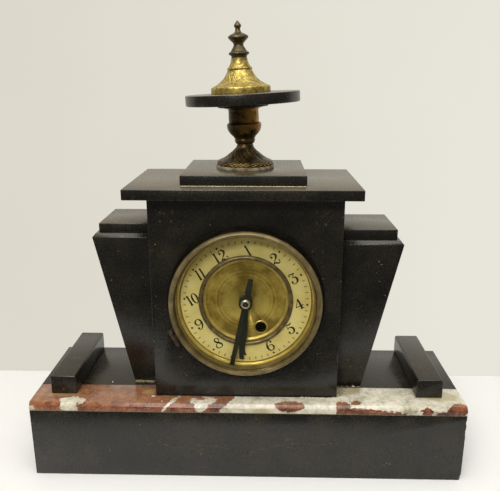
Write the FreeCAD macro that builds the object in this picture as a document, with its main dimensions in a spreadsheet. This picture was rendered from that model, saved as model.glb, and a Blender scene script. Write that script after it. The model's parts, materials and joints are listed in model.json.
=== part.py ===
"""A French marble and slate mantel clock, in millimetres.

The base stands on z = 0 with its long side along x, and the dial faces -y. The origin lies
under the middle of the base. The dial, bezel and movement form one unit, which sits in the
case turned anticlockwise by unit_turn. Its pieces are drawn in the unit's own frame: x to the
dial's 3 o'clock, y to its 12 o'clock and z forward, with z = 0 on the face of the case.
"""

import FreeCAD, Part
import math
import os
import Sketcher

Vector, Placement, Rotation = FreeCAD.Vector, FreeCAD.Placement, FreeCAD.Rotation

SIZES = {
    # Plinth: a hollow box of slate slabs under a top of slate and marble
    "base_width": 370.0,
    "base_depth": 107.0,
    "plinth_height": 63.0,
    "plinth_wall": 14.0,
    "plinth_floor": 12.0,
    "top_thickness": 7.1,
    "marble_depth": 32.0,
    "marble_bevel": 2.6,
    # Bars across the two ends of the base
    "bar_width": 22.3,
    "bar_height": 16.8,
    "bar_length": 90.0,
    "bar_front_setback": 16.0,
    "left_bar_inset": 14.5,
    "right_bar_inset": 17.4,
    "bar_bevel": 1.2,
    # Case
    "case_width": 156.0,
    "case_height": 174.9,
    "case_offset": -0.8,
    "case_front_setback": 15.0,
    "case_back_setback": 8.5,
    "case_wall": 13.0,
    "cornice_width": 185.0,
    "cornice_thickness": 8.3,
    "cornice_offset": -2.6,
    "cornice_front_setback": 0.6,
    "step_width": 99.4,
    "step_thickness": 8.5,
    "step_offset": -2.4,
    "step_front_setback": 16.0,
    # Wings beside the case, wider at the top, each under a cap
    "left_wing_top": 54.3,
    "left_wing_foot": 24.6,
    "left_wing_height": 137.0,
    "left_wing_setback": 42.9,
    "right_wing_top": 53.9,
    "right_wing_foot": 23.5,
    "right_wing_height": 134.0,
    "right_wing_setback": 34.9,
    "left_wing_back": 2.1,
    "right_wing_back": 10.1,
    "wing_bevel": 3.0,
    "cap_inset": 5.7,
    "cap_setback": 4.6,
    "left_cap_thickness": 8.3,
    "right_cap_thickness": 9.0,
    # Urn on the step, threaded on one tie rod
    "urn_foot_radius": 24.6,
    "urn_foot_edge": 3.0,
    "urn_stem_radius": 6.1,
    "urn_foot_height": 19.7,
    "urn_cup_height": 32.8,
    "urn_bulb_radius": 14.4,
    "urn_bulb_height": 15.5,
    "urn_wall_radius": 12.6,
    "urn_wall_end": 28.4,
    "urn_lip_radius": 20.7,
    "disc_radius": 47.1,
    "disc_thickness": 8.5,
    "lid_radius": 24.4,
    "lid_band": 5.2,
    "lid_shoulder": 16.5,
    "lid_shoulder_height": 9.2,
    "lid_height": 27.5,
    "lid_neck_radius": 6.5,
    "knob_ring_radius": 8.2,
    "knob_ring_height": 3.4,
    "knob_waist_radius": 4.0,
    "knob_waist_height": 9.8,
    "knob_flange_radius": 8.3,
    "knob_flange_height": 15.8,
    "knob_neck_radius": 1.8,
    "knob_neck_height": 20.8,
    "knob_bead_radius": 2.7,
    "knob_height": 28.4,
    "knob_socket": 8.0,
    "rod_side": 3.4,
    "rod_clearance": 0.1,
    "slab_hole_clearance": 0.5,
    "nut_radius": 4.2,
    "nut_thickness": 3.2,
    # Place of the dial unit
    "dial_height": 157.3,
    "unit_turn": 27.6,
    "running_fit": 0.05,
    "side_clearance": 0.3,
    # Bezel seat: a flange on the case and a sloping sight ring, all set out from the seat
    "seat_radius": 56.0,
    "case_hole_clearance": 0.4,
    "flange_width": 9.0,
    "flange_thickness": 1.7,
    "dial_level": 3.5,
    "sight_foot_inset": 1.4,
    "sight_rim_reach": 1.4,
    "sight_root_reach": 2.2,
    "sight_rim_level": 7.5,
    # Glazed bezel door
    "door_ring_inset": 2.0,
    "door_ring_wall": 1.6,
    "door_ring_shoulder": 8.2,
    "door_ring_front": 11.5,
    "door_ring_slope": 2.2,
    "door_lip_width": 2.4,
    "glass_thickness": 1.8,
    "glass_setback": 1.5,
    # Hinges
    "hinge_reach": 2.3,
    "hinge_level": 3.5,
    "knuckle_radius": 2.1,
    "knuckle_length": 5.0,
    "knuckle_gap": 0.3,
    "hinge_pin_radius": 0.8,
    "hinge_leaf": 1.4,
    "back_hinge_reach": 1.8,
    "back_hinge_drop": 2.1,
    # Dial
    "dial_ring_inset": 1.8,
    "dial_ring_width": 16.6,
    "dial_ring_thickness": 1.0,
    "pan_clearance": 0.2,
    "pan_sheet": 0.8,
    "pan_bead_width": 3.0,
    "pan_bead_height": 1.3,
    "pan_sink": 3.0,
    "pan_hole_radius": 3.2,
    "winding_hole_radius": 4.1,
    "foot_radius": 1.8,
    # Plates, pillars and straps
    "plate_width": 62.0,
    "plate_height": 88.0,
    "plate_corner": 8.0,
    "plate_thickness": 2.0,
    "plate_spacing": 26.0,
    "pillar_inset": 7.0,
    "pillar_radius": 2.6,
    "strap_inset": 5.0,
    "strap_width": 9.0,
    "strap_thickness": 1.4,
    "strap_foot": 6.0,
    "screw_radius": 1.2,
    "screw_head_radius": 2.2,
    "screw_head_height": 1.0,
    # Small rounds of the movement are drawn with flats, to keep its facets few
    "small_round_sides": 12,
    "barrel_sides": 24,
    "hexagon_sides": 6,
    "urn_sides": 48,
    # Ring and door in the back of the case
    "back_hole_clearance": 1.4,
    "back_ring_lap": 5.6,
    "back_ring_margin": 0.5,
    "back_ring_thickness": 1.7,
    "back_door_lap": 2.0,
    "back_door_thickness": 1.2,
    "back_knob_radius": 3.5,
    "back_knob_height": 6.0,
    "back_knob_inset": 8.5,
    # Going train
    "great_module": 0.95,
    "great_teeth": 36,
    "intermediate_module": 0.6,
    "intermediate_teeth": 36,
    "centre_module": 0.44,
    "centre_teeth": 48,
    "third_module": 0.42,
    "third_teeth": 45,
    "fourth_module": 0.34,
    "fourth_teeth": 48,
    "pinion_leaves": 6,
    "wheel_thickness": 1.2,
    "wheel_rim": 1.0,
    "spoke_width": 1.2,
    "pinion_length": 3.2,
    "arbor_radius": 0.5,
    "intermediate_angle": -46.05,
    "barrel_angle": -116.0,
    "third_angle": 110.0,
    "fourth_angle": 20.0,
    "escape_angle": 95.0,
    # Depths of the wheels behind the front plate's face
    "intermediate_level": 4.1,
    "centre_wheel_level": 25.1,
    "third_wheel_level": 20.9,
    "fourth_wheel_level": 15.9,
    "escape_wheel_level": 9.9,
    "centre_arbor_radius": 0.9,
    # Barrel and winding work
    "barrel_radius": 16.2,
    "barrel_front": 7.5,
    "barrel_back": 23.3,
    "barrel_wall": 1.1,
    "spring_inner_radius": 6.5,
    "spring_clearance": 0.4,
    "winding_arbor_radius": 1.8,
    "winding_square": 2.4,
    "winding_tip_gap": 2.0,
    "ratchet_radius": 6.2,
    "ratchet_teeth": 20,
    "ratchet_depth": 0.9,
    "ratchet_thickness": 1.2,
    "click_length": 9.0,
    "click_width": 2.2,
    "click_clearance": 0.25,
    "click_angle": 150.0,
    # Escapement
    "escape_radius": 6.0,
    "escape_teeth": 15,
    "escape_depth": 1.5,
    "escape_rake": 6.0,
    "escape_back": 1.6,
    "pallet_distance": 8.4,
    "pallet_angle": 145.0,
    "pallet_spread": 66.0,
    "pallet_reach": 3.8,
    "pallet_width": 0.6,
    "pallet_length": 0.9,
    "lever_length": 7.0,
    "lever_width": 1.0,
    "fork_width": 2.4,
    "balance_distance": 10.5,
    "balance_angle": 175.0,
    "balance_radius": 9.2,
    "balance_rim": 1.0,
    "balance_thickness": 1.4,
    "balance_gap": 2.2,
    "impulse_reach": 2.4,
    "impulse_width": 0.6,
    "staff_hole_radius": 2.4,
    "hairspring_radius": 5.4,
    "hairspring_collet": 1.2,
    "hairspring_strip": 0.25,
    "hairspring_height": 0.7,
    "hairspring_lift": 0.4,
    "hairspring_turns": 4,
    "cock_thickness": 2.0,
    "cock_width": 6.0,
    "cock_height": 8.2,
    "cock_reach": 15.5,
    "cock_angle": 90.0,
    "cock_foot": 4.0,
    "cock_boss_radius": 2.2,
    "regulator_thickness": 0.7,
    "regulator_length": 9.5,
    "regulator_width": 1.4,
    "regulator_ring_radius": 3.6,
    # Motion works and hands
    "motion_module": 0.45,
    "cannon_teeth": 10,
    "minute_wheel_teeth": 30,
    "minute_pinion_leaves": 8,
    "hour_wheel_teeth": 32,
    "cannon_radius": 1.65,
    "hour_pipe_radius": 2.3,
    "motion_gap": 0.3,
    "hour_hand_level": 0.9,
    "hour_hand_thickness": 0.8,
    "hour_hand_length": 51.0,
    "hour_hand_width": 4.4,
    "minute_hand_level": 3.5,
    "minute_hand_thickness": 0.9,
    "minute_hand_length": 55.3,
    "minute_hand_width": 4.0,
    "hand_root_width": 4.6,
    "hand_tip_width": 3.0,
    "hand_boss_radius": 5.7,
    "hand_tail_length": 22.0,
    "hand_tail_width": 5.6,
    "collet_radius": 4.0,
    "collet_foot_radius": 2.6,
    "collet_thickness": 1.6,
    "arbor_tip": 0.7,
    "minute_hand_angle": 219.2,
    "hour_hand_angle": 211.6,
    "cut_overrun": 1.0,
}

# Tooth forms: addendum and dedendum as shares of the module, then a leaf's widths at the tip
# and at the root as shares of the pitch.
WHEEL_TOOTH_SHARES = (1.3, 1.7)
PINION_LEAF_SHARES = (0.6, 1.7, 0.2, 0.4)

doc = FreeCAD.newDocument("marble_clock")
sheet = doc.addObject("Spreadsheet::Sheet", "sizes")
for row, (alias, number) in enumerate(SIZES.items(), start=1):
    sheet.set(f"A{row}", alias)
    sheet.set(f"B{row}", str(number))
    sheet.setAlias(f"B{row}", alias)
doc.recompute()

nodes = {}


class Size:
    """A number together with the formula of sheet cells that it comes from."""

    def __init__(self, value, text):
        self.value, self.text = value, text

    def __add__(self, other):
        other = as_size(other)
        return Size(self.value + other.value, f"({self.text} + {other.text})")

    def __sub__(self, other):
        other = as_size(other)
        return Size(self.value - other.value, f"({self.text} - {other.text})")

    def __mul__(self, other):
        other = as_size(other)
        return Size(self.value * other.value, f"({self.text} * {other.text})")

    def __truediv__(self, other):
        other = as_size(other)
        return Size(self.value / other.value, f"({self.text} / {other.text})")

    def __neg__(self):
        return Size(-self.value, f"(0 - {self.text})")

    __radd__ = __add__
    __rmul__ = __mul__


def as_size(thing):
    return thing if isinstance(thing, Size) else Size(float(thing), f"({float(thing)})")


class Cells:
    """The sheet's cells, read by alias."""

    def __getattr__(self, alias):
        return Size(float(sheet.get(alias)), f"sizes.{alias}")


c = Cells()


def bind(thing, **properties):
    """Set properties to sizes, and tie them to the sheet."""
    for name, size in properties.items():
        size = as_size(size)
        setattr(thing, name, size.value)
        thing.setExpression(name, size.text)


def put(thing, x, y, z):
    """Place something in the clock's frame, tied to the sheet."""
    for axis, size in zip("xyz", (x, y, z)):
        thing.setExpression(f"Placement.Base.{axis}", as_size(size).text)


def keep(name, thing):
    """Give a finished sub-part its label, which names its file."""
    thing.Label = name
    nodes[name] = thing
    return thing


def block(name, x, y, z, width, depth, height):
    box = doc.addObject("Part::Box", name)
    bind(box, Length=width, Width=depth, Height=height)
    put(box, x, y, z)
    return box


def outline_sketch(body, role, outline):
    """A closed outline of straight runs on an origin plane. Each corner is (x, y)."""
    sketch = body.newObject("Sketcher::SketchObject", body.Name + "_outline")
    plane = next(f for f in body.Origin.OriginFeatures if f.Role == role)
    sketch.AttachmentSupport = [(plane, "")]
    sketch.MapMode = "FlatFace"
    corners = [(as_size(x), as_size(y)) for x, y in outline]
    points = [Vector(x.value, y.value, 0) for x, y in corners]
    runs = [
        sketch.addGeometry(Part.LineSegment(start, end), False)
        for start, end in zip(points, points[1:] + points[:1])
    ]
    for run, after in zip(runs, runs[1:] + runs[:1]):
        sketch.addConstraint(Sketcher.Constraint("Coincident", run, 2, after, 1))
    for i, (run, (x, y)) in enumerate(zip(runs, corners)):
        for kind, axis, size in (("DistanceX", -2, x), ("DistanceY", -1, y)):
            if abs(size.value) < 1e-9:
                sketch.addConstraint(Sketcher.Constraint("PointOnObject", run, 1, axis))
                continue
            held = sketch.addConstraint(Sketcher.Constraint(kind, -1, 1, run, 1, size.value))
            sketch.renameConstraint(held, f"{kind}{i}")
            sketch.setExpression(f"Constraints.{kind}{i}", size.text)
    return sketch


def turned(name, outline):
    """A piece turned about z. The outline gives radius and z."""
    body = doc.addObject("PartDesign::Body", name)
    sketch = outline_sketch(body, "XZ_Plane", outline)
    lathe = body.newObject("PartDesign::Revolution", name + "_turning")
    lathe.Profile = sketch
    lathe.ReferenceAxis = (sketch, ["V_Axis"])
    lathe.Angle = 360
    return body


def profiled(name, role, outline, length):
    """A piece with one outline all along its length."""
    body = doc.addObject("PartDesign::Body", name)
    sketch = outline_sketch(body, role, outline)
    pad = body.newObject("PartDesign::Pad", name + "_pad")
    pad.Profile = sketch
    bind(pad, Length=length)
    return body


def bevelled(body, bevel, wanted):
    """Bevel the edges that wanted picks from their two end points."""
    doc.recompute()
    base = body.Tip
    names = [
        f"Edge{i}"
        for i, edge in enumerate(base.Shape.Edges, start=1)
        if wanted(edge.Vertexes[0].Point, edge.Vertexes[-1].Point)
    ]
    chamfer = body.newObject("PartDesign::Chamfer", body.Name + "_bevel")
    chamfer.Base = (base, names)
    bind(chamfer, Size=bevel)
    return body


def rod(name, radius, height, x=0, y=0, z=0):
    cylinder = doc.addObject("Part::Cylinder", name)
    bind(cylinder, Radius=radius, Height=height)
    put(cylinder, x, y, z)
    return cylinder


def cut(name, base, *tools):
    """The base with every tool taken out of it."""
    for i, tool in enumerate(tools):
        last = tool is tools[-1]
        result = doc.addObject("Part::Cut", name if last else f"{name}_cut_{i}")
        result.Base, result.Tool = base, tool
        base = result
    return base


def fuse(name, *pieces):
    result = doc.addObject("Part::MultiFuse", name)
    result.Shapes = list(pieces)
    result.Refine = True
    return result


# The dial unit's frame

case_front = -c.base_depth / 2 + c.case_front_setback
base_top = c.plinth_height + c.top_thickness
UNIT = Placement(
    Vector(c.case_offset.value, case_front.value, c.dial_height.value),
    Rotation(Vector(1, 0, 0), 90),
) * Placement(Vector(0, 0, 0), Rotation(Vector(0, 0, 1), c.unit_turn.value))


def in_unit(thing, x=0, y=0, spin=0):
    """Place a piece in the dial unit, at x and y and turned by spin degrees."""
    x, y = as_size(x).value, as_size(y).value
    thing.Placement = UNIT * Placement(Vector(x, y, 0), Rotation(Vector(0, 0, 1), spin))
    return thing


def feature(name, shape, x=0, y=0, spin=0):
    """A sub-part whose shape is worked out here, in the dial unit."""
    thing = doc.addObject("Part::Feature", name)
    thing.Shape = shape.removeSplitter()
    in_unit(thing, x, y, spin)
    return keep(name, thing)


# Radii that are set out from the seat of the bezel


def flange_radius():
    return c.seat_radius + c.flange_width


def door_radius():
    return flange_radius() - c.door_ring_inset


def hinge_offset():
    return flange_radius() + c.hinge_reach


def dial_radius():
    return c.seat_radius - c.dial_ring_inset


def strap_circle():
    return c.seat_radius - c.strap_inset


def back_hole_radius():
    return strap_circle() + c.back_hole_clearance


def back_ring_radius():
    return back_hole_radius() + c.back_ring_lap


def back_ring_bore():
    return strap_circle() - c.strap_foot - c.back_ring_margin


def back_hinge_offset():
    return back_ring_radius() + c.back_hinge_reach


def plinth():
    wall, width, depth, height = c.plinth_wall, c.base_width, c.base_depth, c.plinth_height
    left, front = -width / 2, -depth / 2
    keep("plinth_front", block("plinth_front", left, front, 0, width, wall, height))
    keep("plinth_back", block("plinth_back", left, depth / 2 - wall, 0, width, wall, height))
    inner = depth - wall * 2
    keep("plinth_left_end", block("plinth_left_end", left, front + wall, 0, wall, inner, height))
    right = width / 2 - wall
    keep("plinth_right_end", block("plinth_right_end", right, front + wall, 0, wall, inner, height))
    keep(
        "plinth_bottom",
        block("plinth_bottom", left + wall, front + wall, 0, width - wall * 2, inner, c.plinth_floor),
    )
    keep(
        "plinth_top",
        block(
            "plinth_top",
            left,
            front + c.marble_depth,
            height,
            width,
            depth - c.marble_depth,
            c.top_thickness,
        ),
    )
    half = width / 2
    strip = profiled(
        "marble_strip",
        "XY_Plane",
        [(-half, 0), (half, 0), (half, c.marble_depth), (-half, c.marble_depth)],
        c.top_thickness,
    )
    top = c.top_thickness.value
    back = c.marble_depth.value

    def top_edge(a, b):
        return min(a.z, b.z) > top / 2 and max(a.y, b.y) < back / 2

    bevelled(strip, c.marble_bevel, top_edge)
    put(strip, 0, front, height)
    keep("marble_strip", strip)


def end_bars():
    front = -c.base_depth / 2 + c.bar_front_setback
    left = -c.base_width / 2 + c.left_bar_inset
    right = c.base_width / 2 - c.right_bar_inset - c.bar_width
    for name, x in (("left_end_bar", left), ("right_end_bar", right)):
        bevel, width, height = c.bar_bevel, c.bar_width, c.bar_height
        bar = profiled(
            name,
            "XZ_Plane",
            [
                (0, 0),
                (width, 0),
                (width, height - bevel),
                (width - bevel, height),
                (bevel, height),
                (0, height - bevel),
            ],
            c.bar_length,
        )
        put(bar, x, front + c.bar_length, base_top)
        keep(name, bar)


def case():
    wall, width, height = c.case_wall, c.case_width, c.case_height
    left = c.case_offset - width / 2
    depth = c.base_depth - c.case_front_setback - c.case_back_setback
    back = case_front + depth - wall
    for name, y, radius in (
        ("case_front", case_front, c.seat_radius + c.case_hole_clearance),
        ("case_back", back, back_hole_radius()),
    ):
        slab = block(name + "_slab", left, y, base_top, width, wall, height)
        hole = rod(name + "_hole", radius, wall + c.cut_overrun * 2)
        hole.Placement.Rotation = Rotation(Vector(1, 0, 0), -90)
        put(hole, c.case_offset, y - c.cut_overrun, c.dial_height)
        keep(name, cut(name, slab, hole))
    inner = depth - wall * 2
    for name, x in (("case_left_side", left), ("case_right_side", left + width - wall)):
        keep(name, block(name, x, case_front + wall, base_top, wall, inner, height))


def case_top():
    """The two slabs on the case, pierced for the urn's tie rod."""
    z = base_top + c.case_height
    top = z + c.cornice_thickness + c.step_thickness
    for name in ("cornice", "step"):
        width, offset, setback, thickness = (
            getattr(c, f"{name}_{part}") for part in ("width", "offset", "front_setback", "thickness")
        )
        label = {"cornice": "cornice_slab", "step": "top_step_slab"}[name]
        front = -c.base_depth / 2 + setback
        depth = c.base_depth - setback
        slab = block(label + "_blank", offset - width / 2, front, z, width, depth, thickness)
        side = c.rod_side + c.slab_hole_clearance * 2
        mortise = square_bar(label + "_mortise", side, base_top, top + thickness)
        keep(label, cut(label, slab, mortise))
        z = z + thickness


def urn_y():
    """The urn stands over the middle of the step."""
    return c.step_front_setback / 2


def wings():
    """Tapered blocks beside the case, with their caps."""
    for side, sign in (("left", -1), ("right", 1)):
        top, foot, height, setback, back, cap = (
            getattr(c, f"{side}_{name}")
            for name in (
                "wing_top",
                "wing_foot",
                "wing_height",
                "wing_setback",
                "wing_back",
                "cap_thickness",
            )
        )
        deep = c.base_depth - setback - back
        inner = c.case_offset + c.case_width / 2 * sign
        front = -c.base_depth / 2 + setback
        name = f"{side}_wing"
        outline = [(0, 0), (0, height), (top * sign, height), (foot * sign, 0)]
        wing = profiled(name, "XZ_Plane", outline, deep)
        level, half, outer = height.value / 2, deep.value / 2, top.value / 2

        def rim(a, b, level=level, half=half, outer=outer):
            at_top = min(a.z, b.z) > level
            at_side = min(abs(a.x), abs(b.x)) > outer
            at_ends = max(a.y, b.y) < -half or min(a.y, b.y) > -half
            return at_top and (at_side or at_ends)

        bevelled(wing, c.wing_bevel, rim)
        put(wing, inner, front + deep, base_top)
        keep(name, wing)
        width = top - c.cap_inset
        x = inner - width if sign < 0 else inner
        depth = deep - c.cap_setback
        name = f"{side}_wing_cap"
        keep(name, block(name, x, front + c.cap_setback, base_top + height, width, depth, cap))


def urn():
    """Five turned pieces on a square tie rod, which a nut holds under the cornice."""
    foot = base_top + c.case_height + c.cornice_thickness + c.step_thickness
    stem = c.urn_stem_radius
    cup = foot + c.urn_foot_height
    disc = cup + c.urn_cup_height
    lid = disc + c.disc_thickness
    knob = lid + c.lid_height
    under = base_top + c.case_height - c.nut_thickness * 2
    neck = c.lid_neck_radius
    outlines = (
        ("urn_foot", foot, [
            (0, 0),
            (c.urn_foot_radius, 0),
            (c.urn_foot_radius, c.urn_foot_edge),
            (c.urn_foot_radius / 2, c.urn_foot_height / 2),
            (stem, c.urn_foot_height),
            (0, c.urn_foot_height),
        ]),
        ("urn_cup", cup, [
            (0, 0),
            (stem, 0),
            (c.urn_bulb_radius, c.urn_bulb_height),
            (c.urn_wall_radius, c.urn_wall_end),
            (c.urn_lip_radius, c.urn_cup_height),
            (0, c.urn_cup_height),
        ]),
        ("urn_lid", lid, [
            (0, 0),
            (c.lid_radius, 0),
            (c.lid_radius, c.lid_band),
            (c.lid_shoulder, c.lid_shoulder_height),
            ((c.lid_shoulder + neck * 3) / 4, (c.lid_shoulder_height + c.lid_height) / 2),
            (neck, c.lid_height),
            (0, c.lid_height),
        ]),
        ("urn_knob", knob, [
            (0, 0),
            (neck, 0),
            (c.knob_ring_radius, c.knob_ring_height),
            (c.knob_waist_radius, c.knob_waist_height),
            (c.knob_flange_radius, c.knob_flange_height),
            (c.knob_neck_radius, c.knob_neck_height),
            (c.knob_bead_radius, (c.knob_neck_height + c.knob_height) / 2),
            (0, c.knob_height),
        ]),
    )
    top = knob + c.knob_socket
    bore = square_bar("urn_bore", c.rod_side + c.rod_clearance * 2, under, top)
    for name, z, outline in outlines:
        blank = doc.addObject("Part::Feature", name + "_blank")
        blank.Shape = flat_turning(outline, c.urn_sides)
        put(blank, c.step_offset, urn_y(), z)
        keep(name, cut(name, blank, bore))
    blank = turned("urn_disc_blank", [
        (0, 0),
        (c.disc_radius, 0),
        (c.disc_radius, c.disc_thickness),
        (0, c.disc_thickness),
    ])
    put(blank, c.step_offset, urn_y(), disc)
    keep("urn_disc", cut("urn_disc", blank, bore))
    shaft = square_bar("tie_rod_shaft", c.rod_side, under, top)
    nut = doc.addObject("Part::Prism", "tie_rod_nut")
    nut.Polygon = 6
    bind(nut, Circumradius=c.nut_radius, Height=c.nut_thickness)
    put(nut, c.step_offset, urn_y(), under + c.nut_thickness)
    keep("urn_tie_rod", fuse("urn_tie_rod", shaft, nut))


def flat_turning(outline, sides):
    """A piece turned about z in flats, to keep its facets few. The outline gives radius and z."""
    count = round(sides.value)
    points = [(as_size(r).value, as_size(z).value) for r, z in outline]

    def corner(point, i):
        x, y = polar(point[0], i * 360 / count)
        return Vector(x, y, point[1])

    faces = []
    for start, end in zip(points, points[1:] + points[:1]):
        if start[0] == end[0] == 0:
            continue
        for i in range(count):
            ring = [corner(start, i), corner(start, i + 1), corner(end, i + 1), corner(end, i)]
            if start[0] == 0:
                ring.pop(1)
            if end[0] == 0:
                ring.pop()
            faces.append(Part.Face(Part.makePolygon(ring + ring[:1])))
    solid = Part.makeSolid(Part.makeShell(faces)).removeSplitter()
    return solid if solid.Volume > 0 else solid.reversed()


def square_bar(name, side, low, high):
    """A square bar on the urn's axis."""
    return block(name, c.step_offset - side / 2, urn_y() - side / 2, low, side, side, high - low)


def lug(x, y, z, reach, leaf_z, length):
    """A hinge knuckle centred on y, with the flat leaf that carries it out to -reach."""
    bar = cross_bar(c.knuckle_radius.value, x, z, length)
    bar.translate(Vector(0, y, 0))
    web = Part.makeBox(-reach - x, length, c.hinge_leaf.value, Vector(x, y - length / 2, leaf_z))
    return bar.fuse(web)


def cross_bar(radius, x, z, length):
    """A small round bar along y, drawn with flats, whose corners stand on radius."""
    count = round(c.small_round_sides.value)
    return profile_across([polar(radius, i * 360 / count, (x, z)) for i in range(count)], length)


def knuckle_step():
    """From the middle knuckle to each outer one."""
    return c.knuckle_length + c.knuckle_gap


def hinge_bore():
    """The flats of the bore clear the pin's corners."""
    return (c.hinge_pin_radius + c.running_fit).value / math.cos(math.pi / c.small_round_sides.value)


def hinge_span():
    return (c.knuckle_length * 3 + c.knuckle_gap * 2).value


def with_fixed_knuckles(shape, offset, level, reach, leaf_z):
    """Add the two outer knuckles of a hinge, bored for its pin."""
    x, z, length, step = -offset.value, level.value, c.knuckle_length.value, knuckle_step().value
    for y in (-step, step):
        shape = shape.fuse(lug(x, y, z, reach, leaf_z, length))
    return shape.cut(cross_bar(hinge_bore(), x, z, hinge_span()))


def with_moving_knuckle(shape, offset, level, reach, leaf_z):
    """Add the middle knuckle of a hinge, bored for its pin."""
    x, z, length = -offset.value, level.value, c.knuckle_length.value
    middle = lug(x, 0, z, reach, leaf_z, length)
    return shape.fuse(middle).cut(cross_bar(hinge_bore(), x, z, hinge_span()))


def turned_shape(points):
    """A solid turned about z from plain points (radius, z)."""
    corners = [Vector(as_size(r).value, 0, as_size(z).value) for r, z in points]
    face = Part.Face(Part.makePolygon(corners + corners[:1]))
    return face.revolve(Vector(0, 0, 0), Vector(0, 0, 1), 360)


def bezel_seat():
    """A flange on the case, and a sloping sight ring that stands on the dial plate's edge."""
    shape = turned_shape([
        (c.seat_radius - c.sight_foot_inset, -c.dial_level),
        (c.seat_radius + c.sight_rim_reach, c.sight_rim_level),
        (c.seat_radius + c.sight_root_reach, c.flange_thickness),
        (flange_radius(), c.flange_thickness),
        (flange_radius(), 0),
        (c.seat_radius, 0),
    ])
    reach = (flange_radius() - c.flange_thickness).value
    feature("bezel_seat", with_fixed_knuckles(shape, hinge_offset(), c.hinge_level, reach, 0))


def bezel_door():
    """A ring with a sloping rebate inside, and the glass that sits in it."""
    low, outer = c.flange_thickness + c.side_clearance, door_radius()
    inner, crest = outer - c.door_ring_wall, outer - c.door_ring_slope
    lip = crest - c.door_lip_width
    ring = turned_shape([
        (inner, low),
        (lip, c.door_ring_front),
        (crest, c.door_ring_front),
        (outer, c.door_ring_shoulder),
        (outer, low),
    ])
    reach = (inner + c.door_ring_wall / 2).value
    leaf_z = (c.hinge_level - c.hinge_leaf / 2).value
    feature("bezel_ring", with_moving_knuckle(ring, hinge_offset(), c.hinge_level, reach, leaf_z))
    top = c.door_ring_front - c.glass_setback
    slope = (inner - lip) / (c.door_ring_front - low)
    edge = lip + slope * c.glass_setback - c.side_clearance / 3
    glass = turned("bezel_glass", [
        (0, top - c.glass_thickness),
        (edge, top - c.glass_thickness),
        (edge, top),
        (0, top),
    ])
    keep("bezel_glass", in_unit(glass))


def dial():
    """The enamelled ring lies on a brass dial plate with a turned recess and a bead round it."""
    face = -c.dial_level + c.dial_ring_thickness
    bore, bead = dial_radius() - c.dial_ring_width, c.pan_bead_width
    ring = turned("dial_ring", [
        (bore, -c.dial_level),
        (dial_radius(), -c.dial_level),
        (dial_radius(), face),
        (bore, face),
    ])
    keep("dial_ring", in_unit(ring))
    edge = c.seat_radius - c.pan_clearance
    floor = face - c.pan_sink
    back = floor - c.pan_sheet
    plate = turned_shape([
        (0, back),
        (edge, back),
        (edge, -c.dial_level),
        (bore, -c.dial_level),
        (bore - bead / 2, face + c.pan_bead_height),
        (bore - bead, -c.dial_level),
        (bore - bead, floor),
        (0, floor),
    ])
    x, y = barrel_place()
    low, deep = (back - c.pan_sheet).value, (c.pan_sheet * 3).value
    plate = plate.cut(faceted_hole(c.pan_hole_radius.value, low, low + deep))
    plate = plate.cut(Part.makeCylinder(c.winding_hole_radius.value, deep, Vector(x, y, low)))
    feature("dial_centre", plate)


def polar(distance, degrees, start=(0, 0)):
    angle = math.radians(degrees)
    return start[0] + distance * math.cos(angle), start[1] + distance * math.sin(angle)


def centre_distance(wheel, pinion, module):
    return ((wheel + pinion) / 2 * module).value


def intermediate_place():
    distance = centre_distance(c.intermediate_teeth, c.pinion_leaves, c.intermediate_module)
    return polar(distance, c.intermediate_angle.value)


def barrel_place():
    distance = centre_distance(c.great_teeth, c.pinion_leaves, c.great_module)
    return polar(distance, c.barrel_angle.value, intermediate_place())


def third_place():
    distance = centre_distance(c.centre_teeth, c.pinion_leaves, c.centre_module)
    return polar(distance, c.third_angle.value)


def fourth_place():
    distance = centre_distance(c.third_teeth, c.pinion_leaves, c.third_module)
    return polar(distance, c.fourth_angle.value, third_place())


def escape_place():
    distance = centre_distance(c.fourth_teeth, c.pinion_leaves, c.fourth_module)
    return polar(distance, c.escape_angle.value, fourth_place())


def pallet_place():
    return polar(c.pallet_distance.value, c.pallet_angle.value, escape_place())


def balance_place():
    return polar(c.balance_distance.value, c.balance_angle.value, pallet_place())


def minute_wheel_place():
    return polar(centre_distance(c.minute_wheel_teeth, c.cannon_teeth, c.motion_module), 180)


def flat_piece(corners, z, thickness):
    """A plate with straight edges, from z up."""
    points = [Vector(x, y, z) for x, y in corners]
    return Part.Face(Part.makePolygon(points + points[:1])).extrude(Vector(0, 0, thickness))


def faceted(radius, low, high, place=(0, 0), sides=None):
    """A small round piece of the movement, drawn with flats, whose corners stand on radius."""
    count = round((sides or c.small_round_sides).value)
    corners = [polar(radius, i * 360 / count, place) for i in range(count)]
    return flat_piece(corners, low, high - low)


def faceted_hole(radius, low, high, place=(0, 0), sides=None):
    """The same for a hole, whose flats touch a circle of this radius."""
    count = round((sides or c.small_round_sides).value)
    return faceted(radius / math.cos(math.pi / count), low, high, place, sides)


def toothed_wheel(teeth, module, z, phase=0):
    """A wheel blank with pointed teeth, one of them at the phase angle, from z up."""
    count, module = round(teeth.value), module.value
    addendum, dedendum = WHEEL_TOOTH_SHARES
    radius = count * module / 2
    corners = []
    for i in range(count):
        angle = phase + i * 360 / count
        corners.append(polar(radius + addendum * module, angle))
        corners.append(polar(radius - dedendum * module, angle + 180 / count))
    return flat_piece(corners, z, c.wheel_thickness.value)


def pinion(leaves, module, z, length, phase=0):
    """Leaves with flat tips, one of them centred at the phase angle, from z up."""
    count, module = round(leaves.value), module.value
    addendum, dedendum, tip, root = PINION_LEAF_SHARES
    radius = count * module / 2
    corners = []
    for i in range(count):
        angle = phase + i * 360 / count
        outer, inner = radius + addendum * module, radius - dedendum * module
        for reach, width in ((inner, -root), (outer, -tip), (outer, tip), (inner, root)):
            corners.append(polar(reach, angle + width * 180 / count))
    return flat_piece(corners, z, length)


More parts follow.
